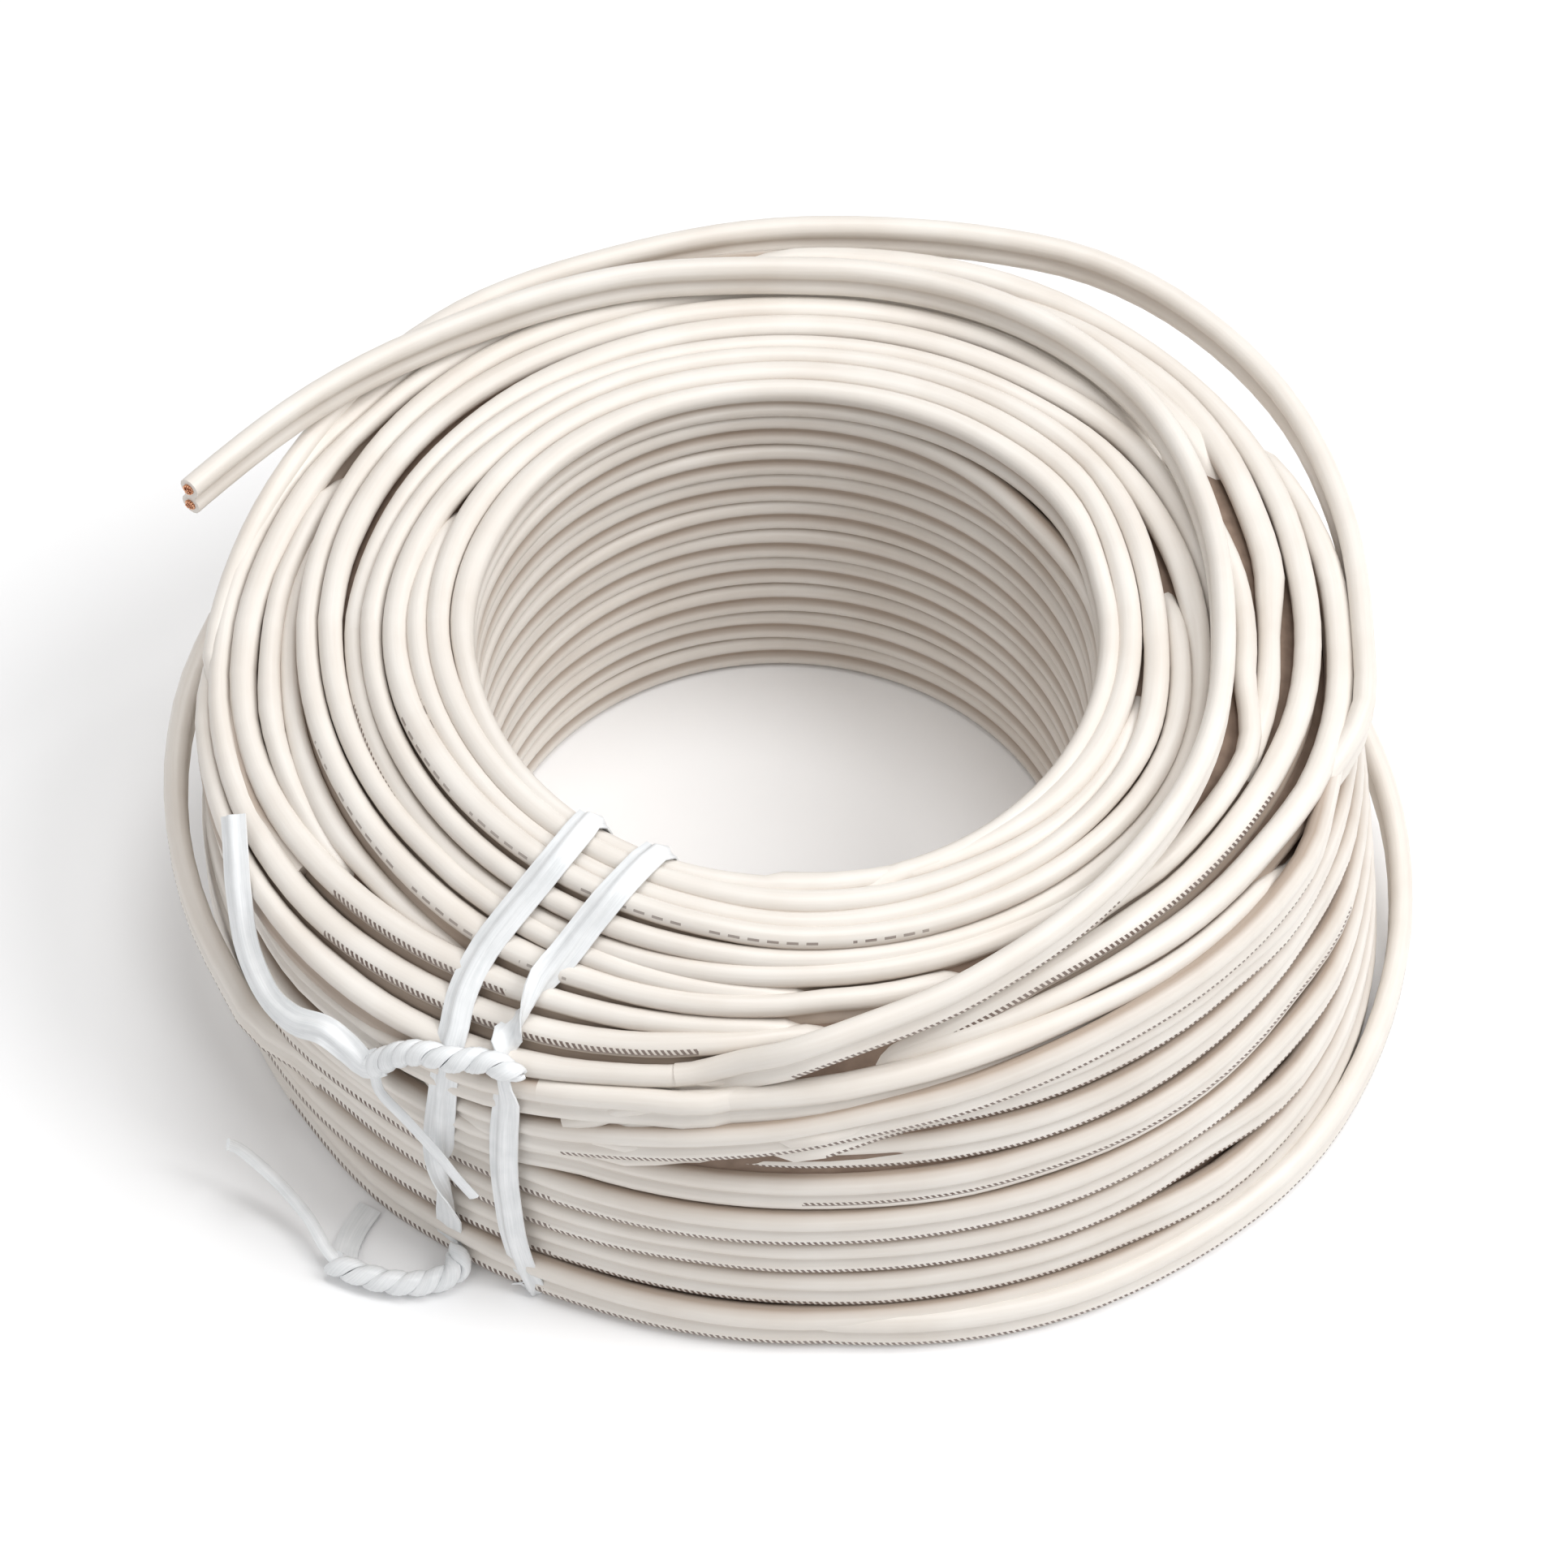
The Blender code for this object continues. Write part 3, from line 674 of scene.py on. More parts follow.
def free_end_stations():
    """The free end's stations, from the turn that it comes from to its tip."""
    radius_of = curve(FREE_END)
    stations = []
    level = None
    angle = FREE_START - 1
    while angle < 166:
        radius = radius_of(angle)[0]
        inside = min(radius, EDGE) - 0.6
        height = max(top(angle + k, inside) for k in (-6, 0, 6)) + RESTING
        if radius > EDGE:
            level = height if level is None else min(level, height)
            height = level
        if angle < -82:
            _, low_radius, low_height, _ = strand_to_end(angle)
            share = smooth_step((angle - FREE_START) / 16)
            radius = low_radius + (radius - low_radius) * share
            height = low_height + (height - low_height) * share
        stations.append((angle, radius, height, 1.0))
        angle += 2 if angle < -76 else STEP
    stations.append((166, radius_of(166)[0], level, 1.0))
    return stations


# Camera at the photograph's angle
pitch = math.radians(PITCH)
roll = math.radians(ROLL)
forward = Vector((0.0, math.cos(pitch), -math.sin(pitch)))
right = Vector((1.0, 0.0, 0.0))
upward = right.cross(forward)
right_rolled = right * math.cos(roll) + upward * math.sin(roll)
up_rolled = upward * math.cos(roll) - right * math.sin(roll)
camera_data = bpy.data.cameras.new("camera")
camera_data.sensor_width = SENSOR
camera_data.lens = FOCAL / FRAME * SENSOR
camera = add("camera", camera_data)
turned = Matrix((right_rolled, up_rolled, -forward)).transposed().to_4x4()
camera.matrix_world = Matrix.Translation(place(Vector(EYE))) @ turned
bpy.context.scene.camera = camera

# Free end, with its two stranded cores showing at the cut
free_rows = free_end_stations()
free = Builder()
free.cord(free_rows, ((-89, -46, 1),))
free_end = free.build("free_end_cord", FREE_WIRE, "insulation", "free_end")
tip = spot(*free_rows[-1][:3])
outward = (tip - spot(*free_rows[-2][:3])).normalized()
for name, shift, node in (("copper_strands_upper", ROUND, "copper_core_upper"),
                          ("copper_strands_lower", -ROUND, "copper_core_lower")):
    bundle = Builder()
    across = outward.cross(UP).normalized()
    for ring, number in ((0.0, 1), (0.112, 6), (0.224, 12)):
        for k in range(number):
            turn = 2 * math.pi * (k + 0.3 * ring) / number
            offset = (across * math.cos(turn) + UP * math.sin(turn)) * ring
            reach = 0.10 + 0.05 * math.sin(7.0 * k + 30.0 * ring + shift)
            start = tip + UP * shift + offset - outward * 1.2
            end = tip + UP * shift + offset + outward * reach
            wire = [(0.054 * math.cos(math.pi * j / 4), 0.054 * math.sin(math.pi * j / 4))
                    for j in range(8)]
            bundle.sweep([start, end], [UP] * 2, [wire] * 2)
    bundle.build(name, COPPER, "copper", node)

# Loose outer turns, close to the part's source: angle, radius and share of the coil's height;
# a radius of 0 keeps the cord against the coil
LOOSE_BACK = ((-22, 0, 0.82), (-8, 0, 0.845), (5, 26.4, 0.865), (20, 27.3, 0.88),
              (35, 28.2, 0.895), (50, 28.5, 0.905), (60, 28.2, 0.91), (70, 27.2, 0.915),
              (80, 26.4, 0.915), (90, 25.9, 0.915), (110, 25.3, 0.91), (130, 25.6, 0.905),
              (150, 25.5, 0.89), (165, 25.8, 0.855), (180, 26.2, 0.81), (195, 26.4, 0.775))
LOOSE_LEFT = ((158, 0, 0.62), (167, 27.5, 0.58), (176, 28.2, 0.53), (186, 28.4, 0.47),
              (196, 28.1, 0.40), (205, 27.4, 0.33), (216, 0, 0.26))
LOOSE_RIGHT = ((-90, 24.4, 0.052), (-85, 25.1, 0.052), (-80, 25.45, 0.052), (-70, 26.25, 0.052),
               (-60, 27.0, 0.052), (-50, 27.6, 0.052), (-44, 28.0, 0.052), (-32, 28.85, 0.052),
               (-20, 29.3, 0.054), (-11, 29.6, 0.068), (-4, 29.75, 0.085), (8, 29.6, 0.14),
               (20, 28.7, 0.22), (34, 0, 0.30))


def loose_turn(name, rows, node, marks=None, reach=(9, 9), dive=(1.5, 0.0)):
    """Turn that stands off the coil and dives back into it, inwards and down, at both ends."""
    fitted = []
    for angle, radius, share in rows:
        height = share * HEIGHT
        widest = max(outer(angle, height + k * 0.25) for k in range(-4, 5))
        fitted.append((angle, radius or widest + 0.56, height))
    path = curve(fitted)
    first, last = rows[0][0], rows[-1][0]
    stations = []
    steps = round((last - first) / STEP)
    for i in range(steps + 1):
        angle = first + (last - first) * i / steps
        radius, height = path(angle)
        sunk = 1 - smooth_step((angle - first) / reach[0])
        sunk += 1 - smooth_step((last - angle) / reach[1])
        height = max(height - dive[1] * sunk, WIDE + 0.02)
        stations.append((angle, radius - dive[0] * sunk, height, 1.0))
    turn = Builder()
    turn.cord(stations, marks)
    turn.build(name, FREE_WIRE, "insulation", node)


loose_turn("back_turn", LOOSE_BACK, "loose_turn_back", reach=(20, 16), dive=(2.4, 1.4))
loose_turn("left_turn", LOOSE_LEFT, "loose_turn_left", ((176, 216, 1),))
loose_turn("right_turn", LOOSE_RIGHT, "loose_turn_right", ((-90, -8, 1),), reach=(3, 14),
           dive=(1.9, 0.0))

# The two ties pass under the coil, and the turns there ride up over them
TIE_ANGLES = (-124.0, -116.0)


def over_ties(angle):
    """How far the lowest turns are lifted by the ties that pass under them."""
    off = min(abs((angle - tie + 180.0) % 360.0 - 180.0) for tie in TIE_ANGLES)
    return 0.40 * math.exp(-(off / 4.5) ** 2)


# Bore wall: turns on edge, one above the other
bore_turns = Builder()
BORE_ROWS = 9
ROW_RISE = 1.94          # from one row's middle to the next, in half heights of the cord
for k in range(BORE_ROWS):
    rows = []
    for i in range(360 // STEP):
        angle = -180 + STEP * i
        bump = math.exp(-((angle - 35) / 18) ** 2) * (0.4 if k == BORE_ROWS - 1 else 0.0)
        wave = 0.06 * math.sin(math.radians(angle * (2 + k % 3) + 97 * k))
        height = WIDE * (1 + ROW_RISE * k) + 0.04 * math.sin(math.radians(angle * 3 + 50 * k))
        lift = over_ties(angle) if k == 0 else 0.0
        rows.append((angle, BORE + ROUND - bump + wave, max(height, WIDE) + lift, 1.0))
    bore_turns.cord(rows, closed=True, flip=True)
bore_turns.build("bore_turns", BORE_WIRE, "insulation")

# Turns seen from underneath, between the bore's lowest turn and the outer wall's
bottom_turns = Builder()
BOTTOM_TURNS = 10
for k in range(1, BOTTOM_TURNS):
    rows = []
    for i in range(360 // COARSE):
        angle = -180 + COARSE * i
        foot = around(FOOT, angle) - ROUND
        share = k / BOTTOM_TURNS
        wave = 0.06 * math.sin(math.radians(angle * (1 + k % 3) + 71 * k))
        radius = BORE + ROUND + (foot - BORE - ROUND) * share + wave
        rows.append((angle, radius, WIDE + over_ties(angle), 1.0))
    bottom_turns.cord(rows, closed=True)
bottom_turns.build("bottom_turns", WALL_WIRE, "insulation")


def under_end(angle):
    """Outer edge of the turn that shows beside the free end: one groove, then the next."""
    share = smooth_step((angle + 16) / 14)
    return line["M"](angle) * (1 - share) + line["Q"](angle) * share


def bent_in(name, shift=0):
    """A groove's radius, further in where the turn beside it starts."""
    return lambda angle: line[name](angle + shift) - 1.6 * (1 - smooth_step((angle + 200) / 28))


# Top turns from the bore outwards: grooves on their inner and outer side, start, end and the rest
TOP_STRANDS = (
    (lambda a: rim(a) if a < 270 else line["A"](a - 360),
     lambda a: max(line["A"](a), BORE + 0.95) + 1.2 * (1 - smooth_step((a + 90) / 24)),
     -90, 724, dict(fade=(20, 26), marks=((-90, 310, 3),))),
    (lambda a: line["A"](a + 360 if a < 360 else a) if a < 505 else line["B"](a - 360), line["B"],
     145, 744, dict(fade=(18, 26), marks=((195, 290, 2), (555, 650, 2)))),
    (lambda a: line["B"](a + 720 if a < 22 else a + 360), loop["C"], -180, 180, dict(fade=None)),
    (loop["C"], loop["D"], -180, 180, dict(fade=None, marks=((-170, -118, 1),))),
    (lambda a: loop["E" if 143 < a % 360 < 225 else "D"](a), loop["F"],
     22, 280, dict(fade=(12, 10), marks=((258, 275, 2),))),
    (loop["F"], loop["G"], 28, 300, dict(fade=(14, 10), marks=((195, 242, 2),))),
    (loop["G"], line["H"], 150, 238, dict(drop=0.5)),
    (line["H"], line["I"], 150, 218, {}),
    (lambda a: loop["G"](a) if a < 130 or a > 236 else line["I" if a < 216 else "H"](a), line["J"],
     24, 279, dict(fade=(14, 10), marks=((213, 235, 1),))),
    (line["J"], line["K"], 62, 282, dict(fade=(16, 10), marks=((214, 258, 1),))),
    (bent_in("K", 360), bent_in("M"), -200, -90, dict(fade=(28, 9), marks=((-121, -90, 4),))),
    (lambda a: line["M" if a < -80 else "O"](a), line["P"],
     -112, -20, dict(fade=(9, 10), marks=((-112, -20, 4),))),
    (line["M"], line["N"], -84, 108, dict(fade=(10, 18), marks=((-80, -20, 1),))),
    (line["N"], line["O"], -84, 38, {}),
    (lambda a: under_end(a) - 2 * ROUND, under_end, -54, 40, dict(drop=0.1)),
    (line["R"], line["M"], -26, 78, dict(drop=0.1, fade=(20, 10), widest=1.35)),
)
top_turns = Builder()
for inner, outer_line, start, end, rest in TOP_STRANDS:
    top_strand(top_turns, inner, outer_line, start, end, **rest)
top_turns.build("top_turns", (*TOP_WIRE, FREE_WIRE[0]), "insulation")


BLEND = 15.0             # degrees over which a cord leaves its seen line for the coil's own shape


def wall_strand(builder, seen, heights, start, end, marks=None, fade=None, fat=1.0):
    """Upright cord of the outer wall whose lower edge is seen on a line in front."""
    line_seen = curve(seen)
    height_of = curve(heights)
    first, last = seen[0][0], seen[-1][0]
    closed = fade is None
    stations = []
    sizes = []
    steps = round((end - start) / STEP)
    for i in range(steps if closed else steps + 1):
        angle = start + (end - start) * i / steps
        height = height_of(angle)[0]
        if height < 2.0:
            height = max(height, WIDE * fat + 0.02) + over_ties(angle) * 0.4
        radius = outer(angle, height) - ROUND
        near = angle - 360.0 * round((angle - (first + last) / 2) / 360.0)
        weight = min(max((near - first) / BLEND, 0.0), max((last - near) / BLEND, 0.0), 1.0)
        if weight > 0:
            seen_radius = cord_radius(near, line_seen(near)[0], height)
            radius += (seen_radius - radius) * smooth_step(weight)
        if not closed:
            sunk = (1 - smooth_step((angle - start) / fade[0]))
            sunk += (1 - smooth_step((end - angle) / fade[1]))
            radius -= 1.3 * sunk
        stations.append((angle, radius, height, 1.0))
        sizes.append(fat + 0.1 * (0.5 + 0.5 * math.sin(math.radians(angle))) ** 2)
    builder.cord(stations, marks, closed, sizes=sizes)


# Outer wall: cords seen by the line of their lower edges, with their true heights
SEEN_A = ((-147, -1.9), (-140, -0.2), (-133, 0.6), (-127, 1.1), (-120, 1.3), (-110, 1.6),
          (-90, 1.2), (-80, 0.9), (-70, 0.1), (-60, -0.8), (-52, -1.9))
SEEN_B = ((-158, -1.9), (-150, 1.0), (-145, 2.0), (-140, 2.9), (-130, 4.0), (-120, 4.6),
          (-110, 5.0), (-90, 4.6), (-80, 4.1), (-70, 3.4), (-60, 2.3), (-50, 0.9), (-40, -0.9))
SEEN_C = ((-155, 3.5), (-150, 4.6), (-140, 6.0), (-130, 6.6), (-120, 6.9), (-100, 7.3),
          (-90, 7.1), (-80, 6.8), (-70, 6.1), (-60, 5.1), (-50, 4.1), (-40, 2.8), (-30, 0.5))
SEEN_D = ((-150, 6.8), (-135, 8.2), (-130, 8.6), (-123, 9.1), (-110, 9.4), (-90, 9.3),
          (-80, 9.1), (-70, 8.6), (-60, 7.8), (-50, 6.9), (-40, 5.4), (-30, 3.2), (-20, 0.2))
SEEN_E = ((-125, 11.4), (-115, 12.3), (-105, 12.35), (-90, 12.2), (-80, 11.95), (-70, 11.45),
          (-60, 11.0), (-50, 10.1), (-40, 9.1), (-33, 8.3), (-25, 6.8), (-20, 4.9), (-15, 2.2))
SEEN_F = ((-112, 14.0), (-105, 14.8), (-98, 15.4), (-90, 15.3), (-80, 15.1), (-70, 14.6),
          (-60, 14.0), (-50, 13.5), (-40, 13.0), (-30, 12.1), (-20, 10.2), (-10, 6.5))
SEEN_F2 = ((-90, 17.0), (-82, 17.3), (-75, 17.4), (-70, 17.4), (-60, 17.1), (-50, 16.9),
           (-40, 16.5), (-30, 16.5), (-24, 16.0))
SEEN_G = ((-132, 11.0), (-125, 12.0), (-115, 13.1), (-110, 13.9), (-105, 14.6), (-100, 15.2),
          (-95, 15.8), (-90, 16.3), (-80, 17.4), (-70, 17.9), (-60, 18.4), (-50, 18.6),
          (-40, 18.3), (-30, 17.7), (-23, 16.9), (-15, 14.5), (-10, 12.0))
SEEN_H = ((-155, 9.4), (-150, 10.4), (-145, 11.5), (-140, 12.6), (-133, 13.3), (-126, 14.1),
          (-122, 14.6), (-115, 15.9), (-108, 17.0), (-100, 18.0), (-92, 19.0))

LEFT = (-150, -115, 3)   # the marked stretch at the left
WALL_STRANDS = (
    (SEEN_A, ((-150, 1.1), (210, 1.1)), -150, 210, dict(marks=(LEFT, (-115, -40, 1)), fat=1.1)),
    (SEEN_B, ((-150, 3.3), (-90, 3.25), (-60, 3.25), (-30, 3.3), (0, 3.35), (90, 3.5), (210, 3.3)),
     -150, 210, dict(marks=(LEFT, (-115, -30, 1), (200, 210, 3)), fat=1.08)),
    (SEEN_C, ((-150, 5.45), (-90, 5.45), (-60, 5.4), (-45, 5.35), (-30, 5.45), (0, 5.5), (90, 5.85),
              (210, 5.45)),
     -150, 210, dict(marks=(LEFT, (-115, -30, 1), (200, 210, 3)), fat=1.03)),
    (SEEN_D, ((-150, 7.6), (-90, 7.6), (-60, 7.6), (-30, 7.7), (0, 7.65), (90, 8.2), (210, 7.6)),
     -150, 210, dict(marks=(LEFT, (-115, -20, 1)), fat=1.02)),
    (SEEN_E, ((-150, 9.75), (-90, 9.7), (-60, 9.7), (-30, 9.85), (0, 9.85), (90, 10.55), (210, 9.75)),
     -150, 210, dict(marks=((-88, -15, 2),), fat=1.03)),
    (SEEN_F, ((-112, 11.8), (-90, 11.75), (-60, 11.75), (-30, 12.0), (0, 12.1), (90, 12.9),
              (180, 12.0), (207, 11.6)),
     -115, 207, dict(marks=((-98, -15, 1),), fade=(8, 14))),
    (SEEN_F2, ((-92, 13.0), (-84, 13.4), (-60, 13.65), (-30, 14.0), (0, 14.3), (90, 15.3), (165, 14.4)),
     -94, 165, dict(marks=((-86, -20, 1),), fade=(8, 10))),
    (SEEN_G, ((-132, 10.6), (-115, 11.4), (-100, 13.0), (-90, 13.7), (-80, 14.3), (-70, 14.8),
              (-60, 15.4), (-50, 15.6), (-30, 15.9), (0, 16.6), (90, 17.7), (180, 16.4), (205, 15.4)),
     -134, 208, dict(marks=((-115, -24, 1),), fade=(10, 12))),
    (SEEN_H, ((-215, 14.6), (-190, 14.0), (-170, 13.1), (-150, 12.6), (-122, 13.4), (-108, 14.4),
              (-92, 15.2)),
     -215, -88, dict(marks=((-116, -88, 4),), fade=(12, 12))),
)
outer_turns = Builder()
for seen, heights, start, end, rest in WALL_STRANDS:
    wall_strand(outer_turns, seen, heights, start, end, **rest)
outer_turns.build("outer_turns", (*WALL_WIRE, FREE_WIRE[0]), "insulation")

# Filler behind the turns, coloured dark brown as painted shade where the gaps between turns show it
ring = []
sections = 360 // COARSE
for i in range(sections):
    angle = -180 + COARSE * i
    shoulder = around(SHOULDER, angle)
    rows = [(BORE + 0.9, 1.2), (BORE + 0.9, HEIGHT - 1.3), (FLAT, HEIGHT - 1.3)]
    rows += [(FLAT + (shoulder - FLAT) * t, top(angle, FLAT + (shoulder - FLAT) * t) - 1.2)
             for t in (0.35, 0.7)]
    edge = top(angle, shoulder)
    rows += [(outer(angle, edge * t) - 1.25, edge * t) for t in (0.92, 0.7, 0.45, 0.2)]
    rows.append((outer(angle, 1.2) - 0.9, 1.2))
    ring.append([spot(angle, r, z) for r, z in rows])
inside = Builder()
size = len(ring[0])
for row in ring:
    inside.vertices += [place(v) for v in row]
for i in range(sections):
    j = (i + 1) % sections
    for k in range(size):
        other = (k + 1) % size
        inside.faces.append((i * size + k, j * size + k, j * size + other, i * size + other))
        inside.marks.append(0)
        inside.uvs.append(((0, 0), (1, 0), (1, 1), (0, 1)))
inside.build("packed_turns_inside", PACKING_IN_PAINTED_SHADE, "insulation", "wire_coil")

# Ties: ribbons with a rib over the wire in them. Seen places run from the bore over the top (T)
# and down the wall (W); the last number is how far the ribbon is rolled about its own length.
TIE_LOWER_SEEN = (("T", -126.2, 14.3, 0), ("T", -126.0, 15, 0), ("T", -125.4, 17, 0),
                  ("T", -124.9, 19, 0), ("T", -124.5, 21, 0), ("T", -124.1, 22.5, 0),
                  ("T", -123.3, 24, 0), ("T", -122.3, 25.3, 0), ("W", -121.9, 19.8, 0),
                  ("W", -122.6, 18.2, 0), ("W", -123.4, 16, 0), ("W", -124.2, 13, 10),
                  ("W", -124.9, 10, 30), ("W", -125.0, 8, 80), ("W", -124.7, 6, 140),
                  ("W", -124.3, 4, 180), ("W", -124.3, 1.9, 180))
TIE_UPPER_SEEN = (("T", -112.5, 14.3, 0), ("T", -113.5, 15, 0), ("T", -114.9, 17, 0),
                  ("T", -115.6, 19, 0), ("T", -116.0, 21, 10), ("T", -116.5, 22.5, 40),
                  ("T", -116.4, 24, 90), ("T", -116.2, 25.2, 140), ("W", -116.4, 20.2, 230),
                  ("W", -116.6, 18, 310), ("W", -116.5, 16, 350), ("W", -117.0, 13, 360),
                  ("W", -117.2, 10, 360), ("W", -116.9, 7, 360), ("W", -116.5, 5, 360),
                  ("W", -115.6, 3, 360), ("W", -114.4, 1.4, 360))
RIBBON = ((0.70, 0.02), (0.44, 0.07), (0.30, 0.10), (0.21, 0.23), (0.10, 0.31), (0, 0.33),
          (-0.10, 0.31), (-0.21, 0.23), (-0.30, 0.10), (-0.44, 0.07), (-0.70, 0.02),
          (-0.70, -0.06), (-0.3, -0.08), (0, -0.11), (0.3, -0.08), (0.70, -0.06))


def resampled(points, values, spacing, closed=False):
    """Smooth curve through points and their values, with even spacing."""
    count = len(points)
    spans = count if closed else count - 1
    out_points, out_values = [], []
    for i in range(spans):
        if closed:
            keys = [(i - 1) % count, i, (i + 1) % count, (i + 2) % count]
        else:
            keys = [max(i - 1, 0), i, i + 1, min(i + 2, count - 1)]
        around_here = [points[k] for k in keys]
        low, high = values[keys[1]], values[keys[2]]
        steps = max(1, round((around_here[2] - around_here[1]).length / spacing))
        for k in range(steps):
            t = k / steps
            out_points.append(spline(*around_here, t))
            out_values.append(low if closed and i == count - 1 else low + (high - low) * t)
    if not closed:
        out_points.append(points[-1])
        out_values.append(values[-1])
    return out_points, out_values


def rolled(section, degrees, scale=1.0):
    """A section turned about its own length."""
    turn = math.radians(degrees)
    return [((x * math.cos(turn) - y * math.sin(turn)) * scale,
             (x * math.sin(turn) + y * math.cos(turn)) * scale) for x, y in section]


def tie_band(builder, seen, angle):
    """Ribbon loop round the coil through its seen places, closed underneath and in the bore."""
    points, rolls = [], []
    for kind, where, value, roll in seen:
        start = spot(where, value, SEEN_HEIGHT) if kind == "T" else spot(where, SEEN_RADIUS, value)
        lift = 0.14 + 0.36 * math.sin(math.radians(roll)) ** 2
        points.append(landed(start, lift))
        rolls.append(roll)
    last_roll = rolls[-1]
    whole_turns = 360.0 * math.ceil(last_roll / 360.0)
    foot = around(FOOT, angle)
    for radius, height in ((foot + 0.12, 0.6), (foot - 0.25, 0.28), (22.0, 0.25), (18.5, 0.25),
                           (BORE + 0.25, 0.25), (BORE - 0.14, 0.6), (BORE - 0.16, 5.0),
                           (BORE - 0.16, 10.0), (BORE - 0.16, 15.0), (BORE - 0.16, 19.2),
                           (BORE + 0.0, HEIGHT - 0.15)):
        share = (foot - radius) / (foot - BORE)
        points.append(spot(angle + (seen[0][1] + 1.2 - angle) * share, radius, height))
        rolls.append(last_roll if radius > 20.0 else whole_turns)
    points, rolls = resampled(points, rolls, 0.55, closed=True)
    middle = spot(angle, 19.5, 9.0)
    across = spot(angle, 1.0, 0.0).cross(UP).normalized()
    ups = []
    for i, point in enumerate(points):
        along = (points[(i + 1) % len(points)] - points[i - 1]).normalized()
        up = along.cross(across)
        ups.append(-up if up.dot(point - middle) < 0 else up)
    builder.sweep(points, ups, [rolled(RIBBON, roll) for roll in rolls], closed=True)


PAIR_RADIUS = 0.33       # from the middle of a twisted pair to the middle of each of its two


def twisted_pair(builder, rows, turns):
    """Two ribbons' ends twisted together along rows of angle, radius and height."""
    points, _ = resampled([spot(*row) for row in rows], [0.0] * len(rows), 0.11)
    lobe = [(0.41 * math.cos(math.pi * j / 5), 0.28 * math.sin(math.pi * j / 5)) for j in range(10)]
    grow = [min(1.0, 0.3 + i / 8) for i in range(len(points))]
    for phase in (0.0, math.pi):
        centres, ups = [], []
        for i, point in enumerate(points):
            after = points[min(i + 1, len(points) - 1)]
            along = (after - points[max(i - 1, 0)]).normalized()
            side = along.cross(UP).normalized()
            rise = side.cross(along)
            turn = phase + 2 * math.pi * turns * i / (len(points) - 1)
            spoke = side * math.cos(turn) + rise * math.sin(turn)
            centres.append(point + spoke * PAIR_RADIUS * grow[i])
            ups.append(spoke)
        builder.sweep(centres, ups, [rolled(lobe, 0, size) for size in grow])


def ribbon_end(builder, rows, facing, scale, section=RIBBON):
    """Loose end of a tie through rows of angle, radius, height and roll."""
    points, rolls = resampled([spot(*row[:3]) for row in rows], [row[3] for row in rows], 0.3)
    sections = [rolled(section, roll, scale) for roll in rolls]
    builder.sweep(points, [Vector(facing)] * len(points), sections)


UPPER_TWIST = ((-116.6, 24.3, 15.7), (-118.0, 24.6, 15.95), (-120.6, 24.7, 15.95),
               (-123.9, 25.3, 15.65), (-127.2, 25.55, 15.15), (-130.1, 25.8, 14.05),
               (-132.7, 26.15, 12.5))
UPPER_WIDE_END = ((-131.9, 26.05, 13.0, 0), (-133.5, 26.35, 12.4, 0), (-135.4, 26.6, 13.0, -20),
                  (-137.9, 26.95, 13.45, -30), (-141.5, 27.4, 12.75, -10),
                  (-145.8, 27.5, 12.35, 0), (-150.0, 27.4, 13.4, 0), (-153.3, 27.0, 15.35, 0),
                  (-155.8, 26.6, 16.7, 0), (-158.8, 26.2, 17.6, 0))
UPPER_THIN_END = ((-132.5, 26.2, 12.3, 0), (-131.5, 26.4, 11.25, 0), (-128.0, 26.35, 10.4, 0),
                  (-124.7, 26.25, 9.15, 0), (-122.6, 26.15, 7.9, 0), (-120.9, 26.0, 6.85, 0))
LOWER_TWIST = ((-124.2, 25.85, 1.5), (-122.6, 26.6, 0.95), (-123.8, 27.6, 0.75),
               (-125.9, 28.55, 0.75), (-128.9, 29.3, 0.75), (-132.0, 29.8, 0.75))
LOWER_THIN_END = ((-131.4, 29.7, 0.8, 0), (-133.4, 29.65, 1.05, 0), (-136.4, 29.35, 1.6, 0),
                  (-140.2, 29.6, 2.6, 0), (-143.0, 30.3, 3.8, 0), (-143.6, 30.9, 4.6, 0))
LOWER_FLAT_END = ((-131.4, 29.5, 0.62, 0), (-132.8, 28.7, 0.35, 0), (-134.0, 27.6, 0.2, 0),
                  (-134.8, 26.4, 0.18, 0))
FLAT_RIBBON = ((0.58, 0.05), (0.2, 0.08), (-0.2, 0.08), (-0.58, 0.05),
               (-0.58, -0.05), (-0.2, -0.06), (0.2, -0.06), (0.58, -0.05))
NARROW = ((0.30, 0.02), (0.24, 0.10), (0.0, 0.14), (-0.24, 0.10), (-0.30, 0.02),
          (-0.24, -0.06), (0.0, -0.09), (0.24, -0.06))

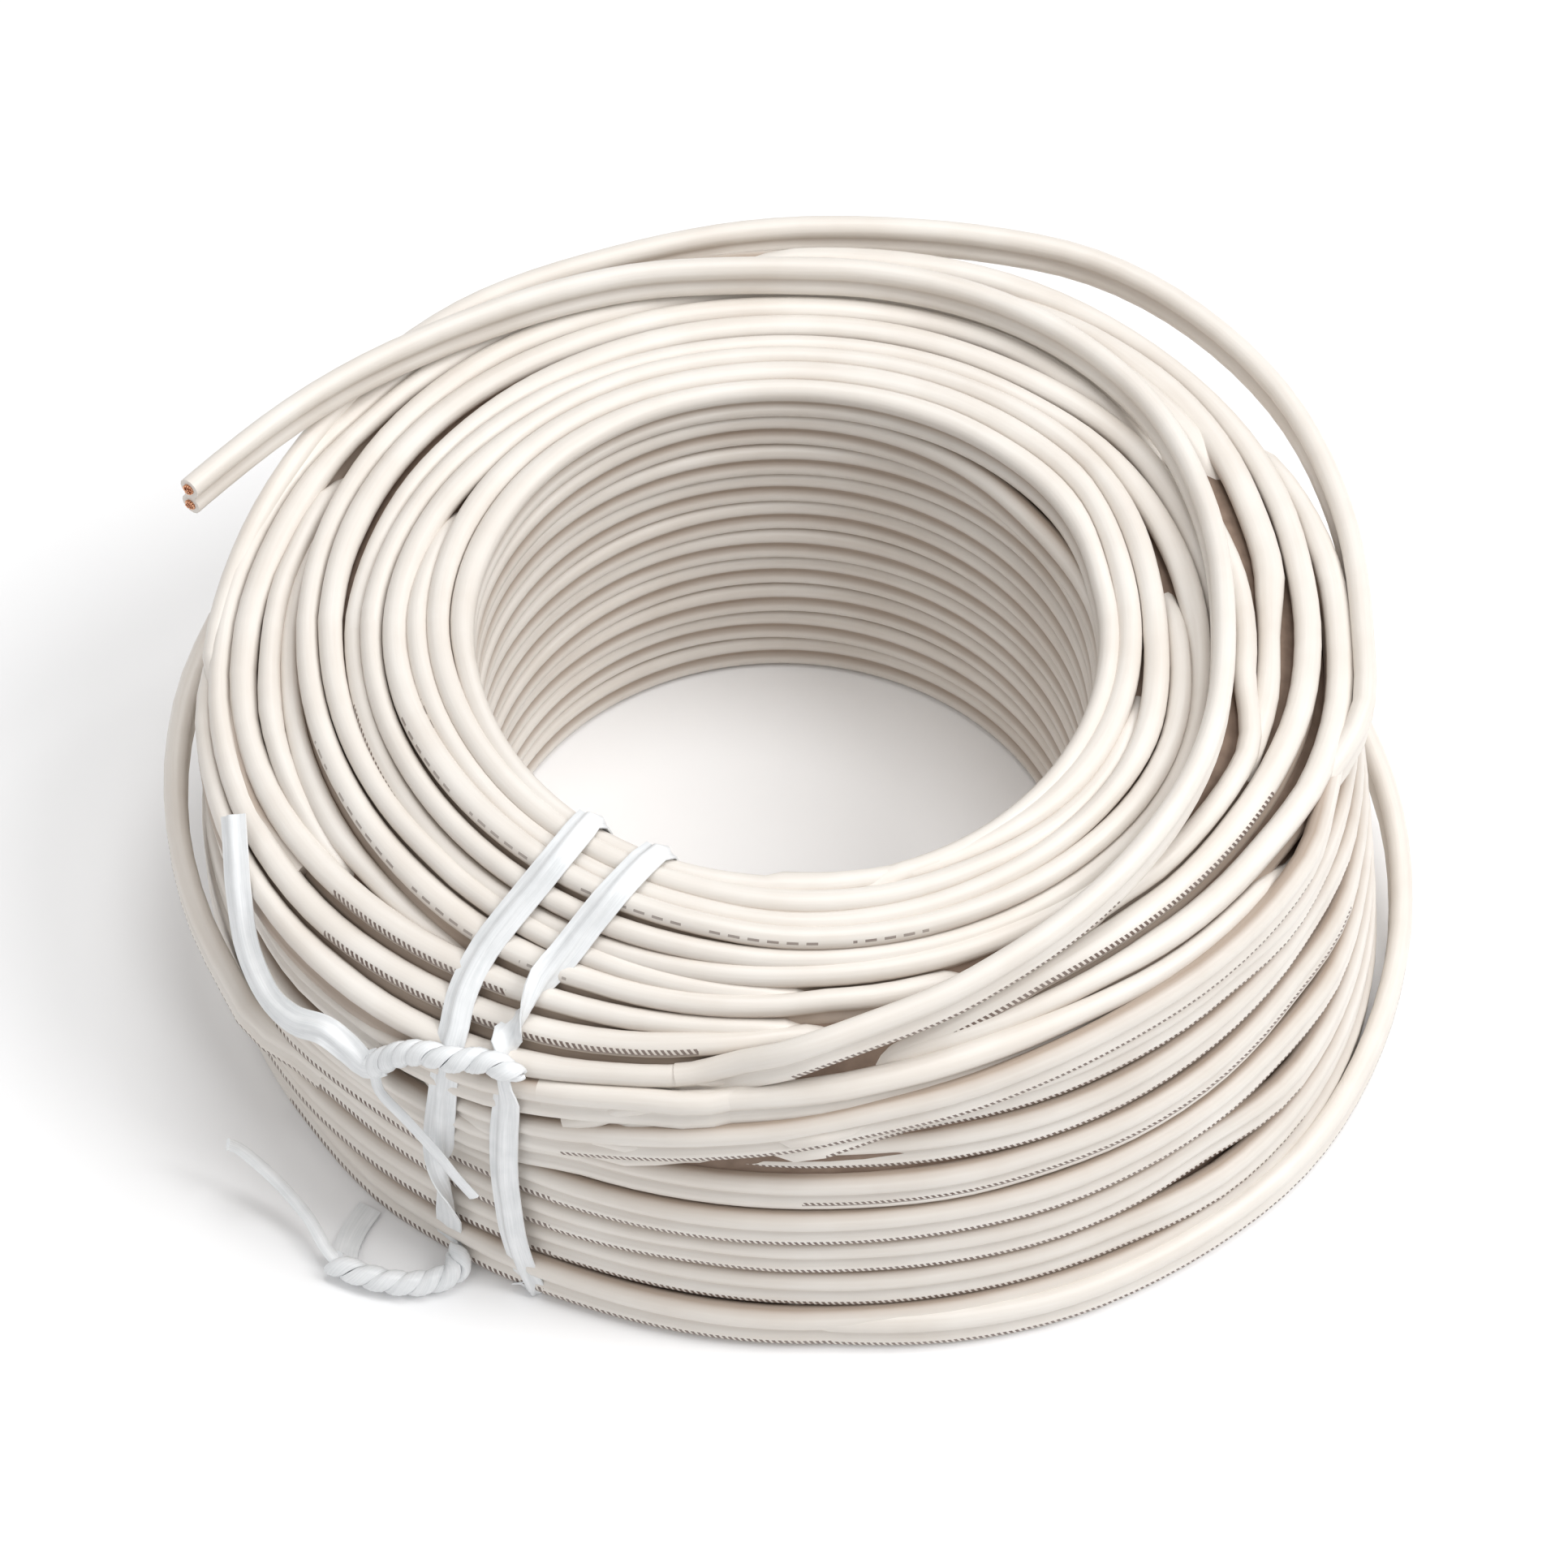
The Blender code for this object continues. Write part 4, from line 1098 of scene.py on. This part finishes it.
lower_tie = Builder()
tie_band(lower_tie, TIE_LOWER_SEEN, TIE_ANGLES[0])
twisted_pair(lower_tie, LOWER_TWIST, 3.6)
ribbon_end(lower_tie, LOWER_THIN_END, (0.3, -0.3, 1), 1.0, NARROW)
ribbon_end(lower_tie, LOWER_FLAT_END, (0, 0, 1), 1.0, FLAT_RIBBON)
lower_tie.build("lower_tie", PLASTIC, "tie", "twist_tie_lower")
upper_tie = Builder()
tie_band(upper_tie, TIE_UPPER_SEEN, TIE_ANGLES[1])
twisted_pair(upper_tie, UPPER_TWIST, 4.2)
ribbon_end(upper_tie, UPPER_WIDE_END, (-0.5, -0.8, 0.6), 0.95)
ribbon_end(upper_tie, UPPER_THIN_END, (-0.5, -0.8, 0.4), 1.0, NARROW)
upper_tie.build("upper_tie", PLASTIC, "tie", "twist_tie_upper")

# Stage
floor_mesh = bpy.data.meshes.new("floor")
floor_mesh.from_pydata([(-3, -3, 0), (3, -3, 0), (3, 3, 0), (-3, 3, 0)], [], [(0, 1, 2, 3)])
floor = add("floor", floor_mesh)
white = Nodes("pale floor")
white.shader.inputs["Base Color"].default_value = (0.96, 0.96, 0.965, 1.0)
white.shader.inputs["Roughness"].default_value = 0.85
floor_mesh.materials.append(white.material)


def lamp(name, location, size, energy):
    """Round lamp that points at the coil."""
    data = bpy.data.lights.new(name, "AREA")
    data.shape = "DISK"
    data.size = size
    data.energy = energy
    obj = add(name, data)
    obj.location = location
    obj.rotation_euler = (Vector((0, 0, 0.04)) - Vector(location)).to_track_quat("-Z", "Y").to_euler()


lamp("key", (1.1, -0.2, 1.4), 1.0, 17.0)
lamp("overhead", (0.15, 0.15, 1.7), 0.8, 9.5)
lamp("fill", (-0.9, -1.0, 1.5), 1.6, 4.0)
world = bpy.data.worlds.new("studio")
bpy.context.scene.world = world
world.use_nodes = True
world.node_tree.nodes["Background"].inputs["Color"].default_value = (1, 1, 1, 1)
world.node_tree.nodes["Background"].inputs["Strength"].default_value = 0.5
bpy.context.scene.view_settings.view_transform = "Standard"
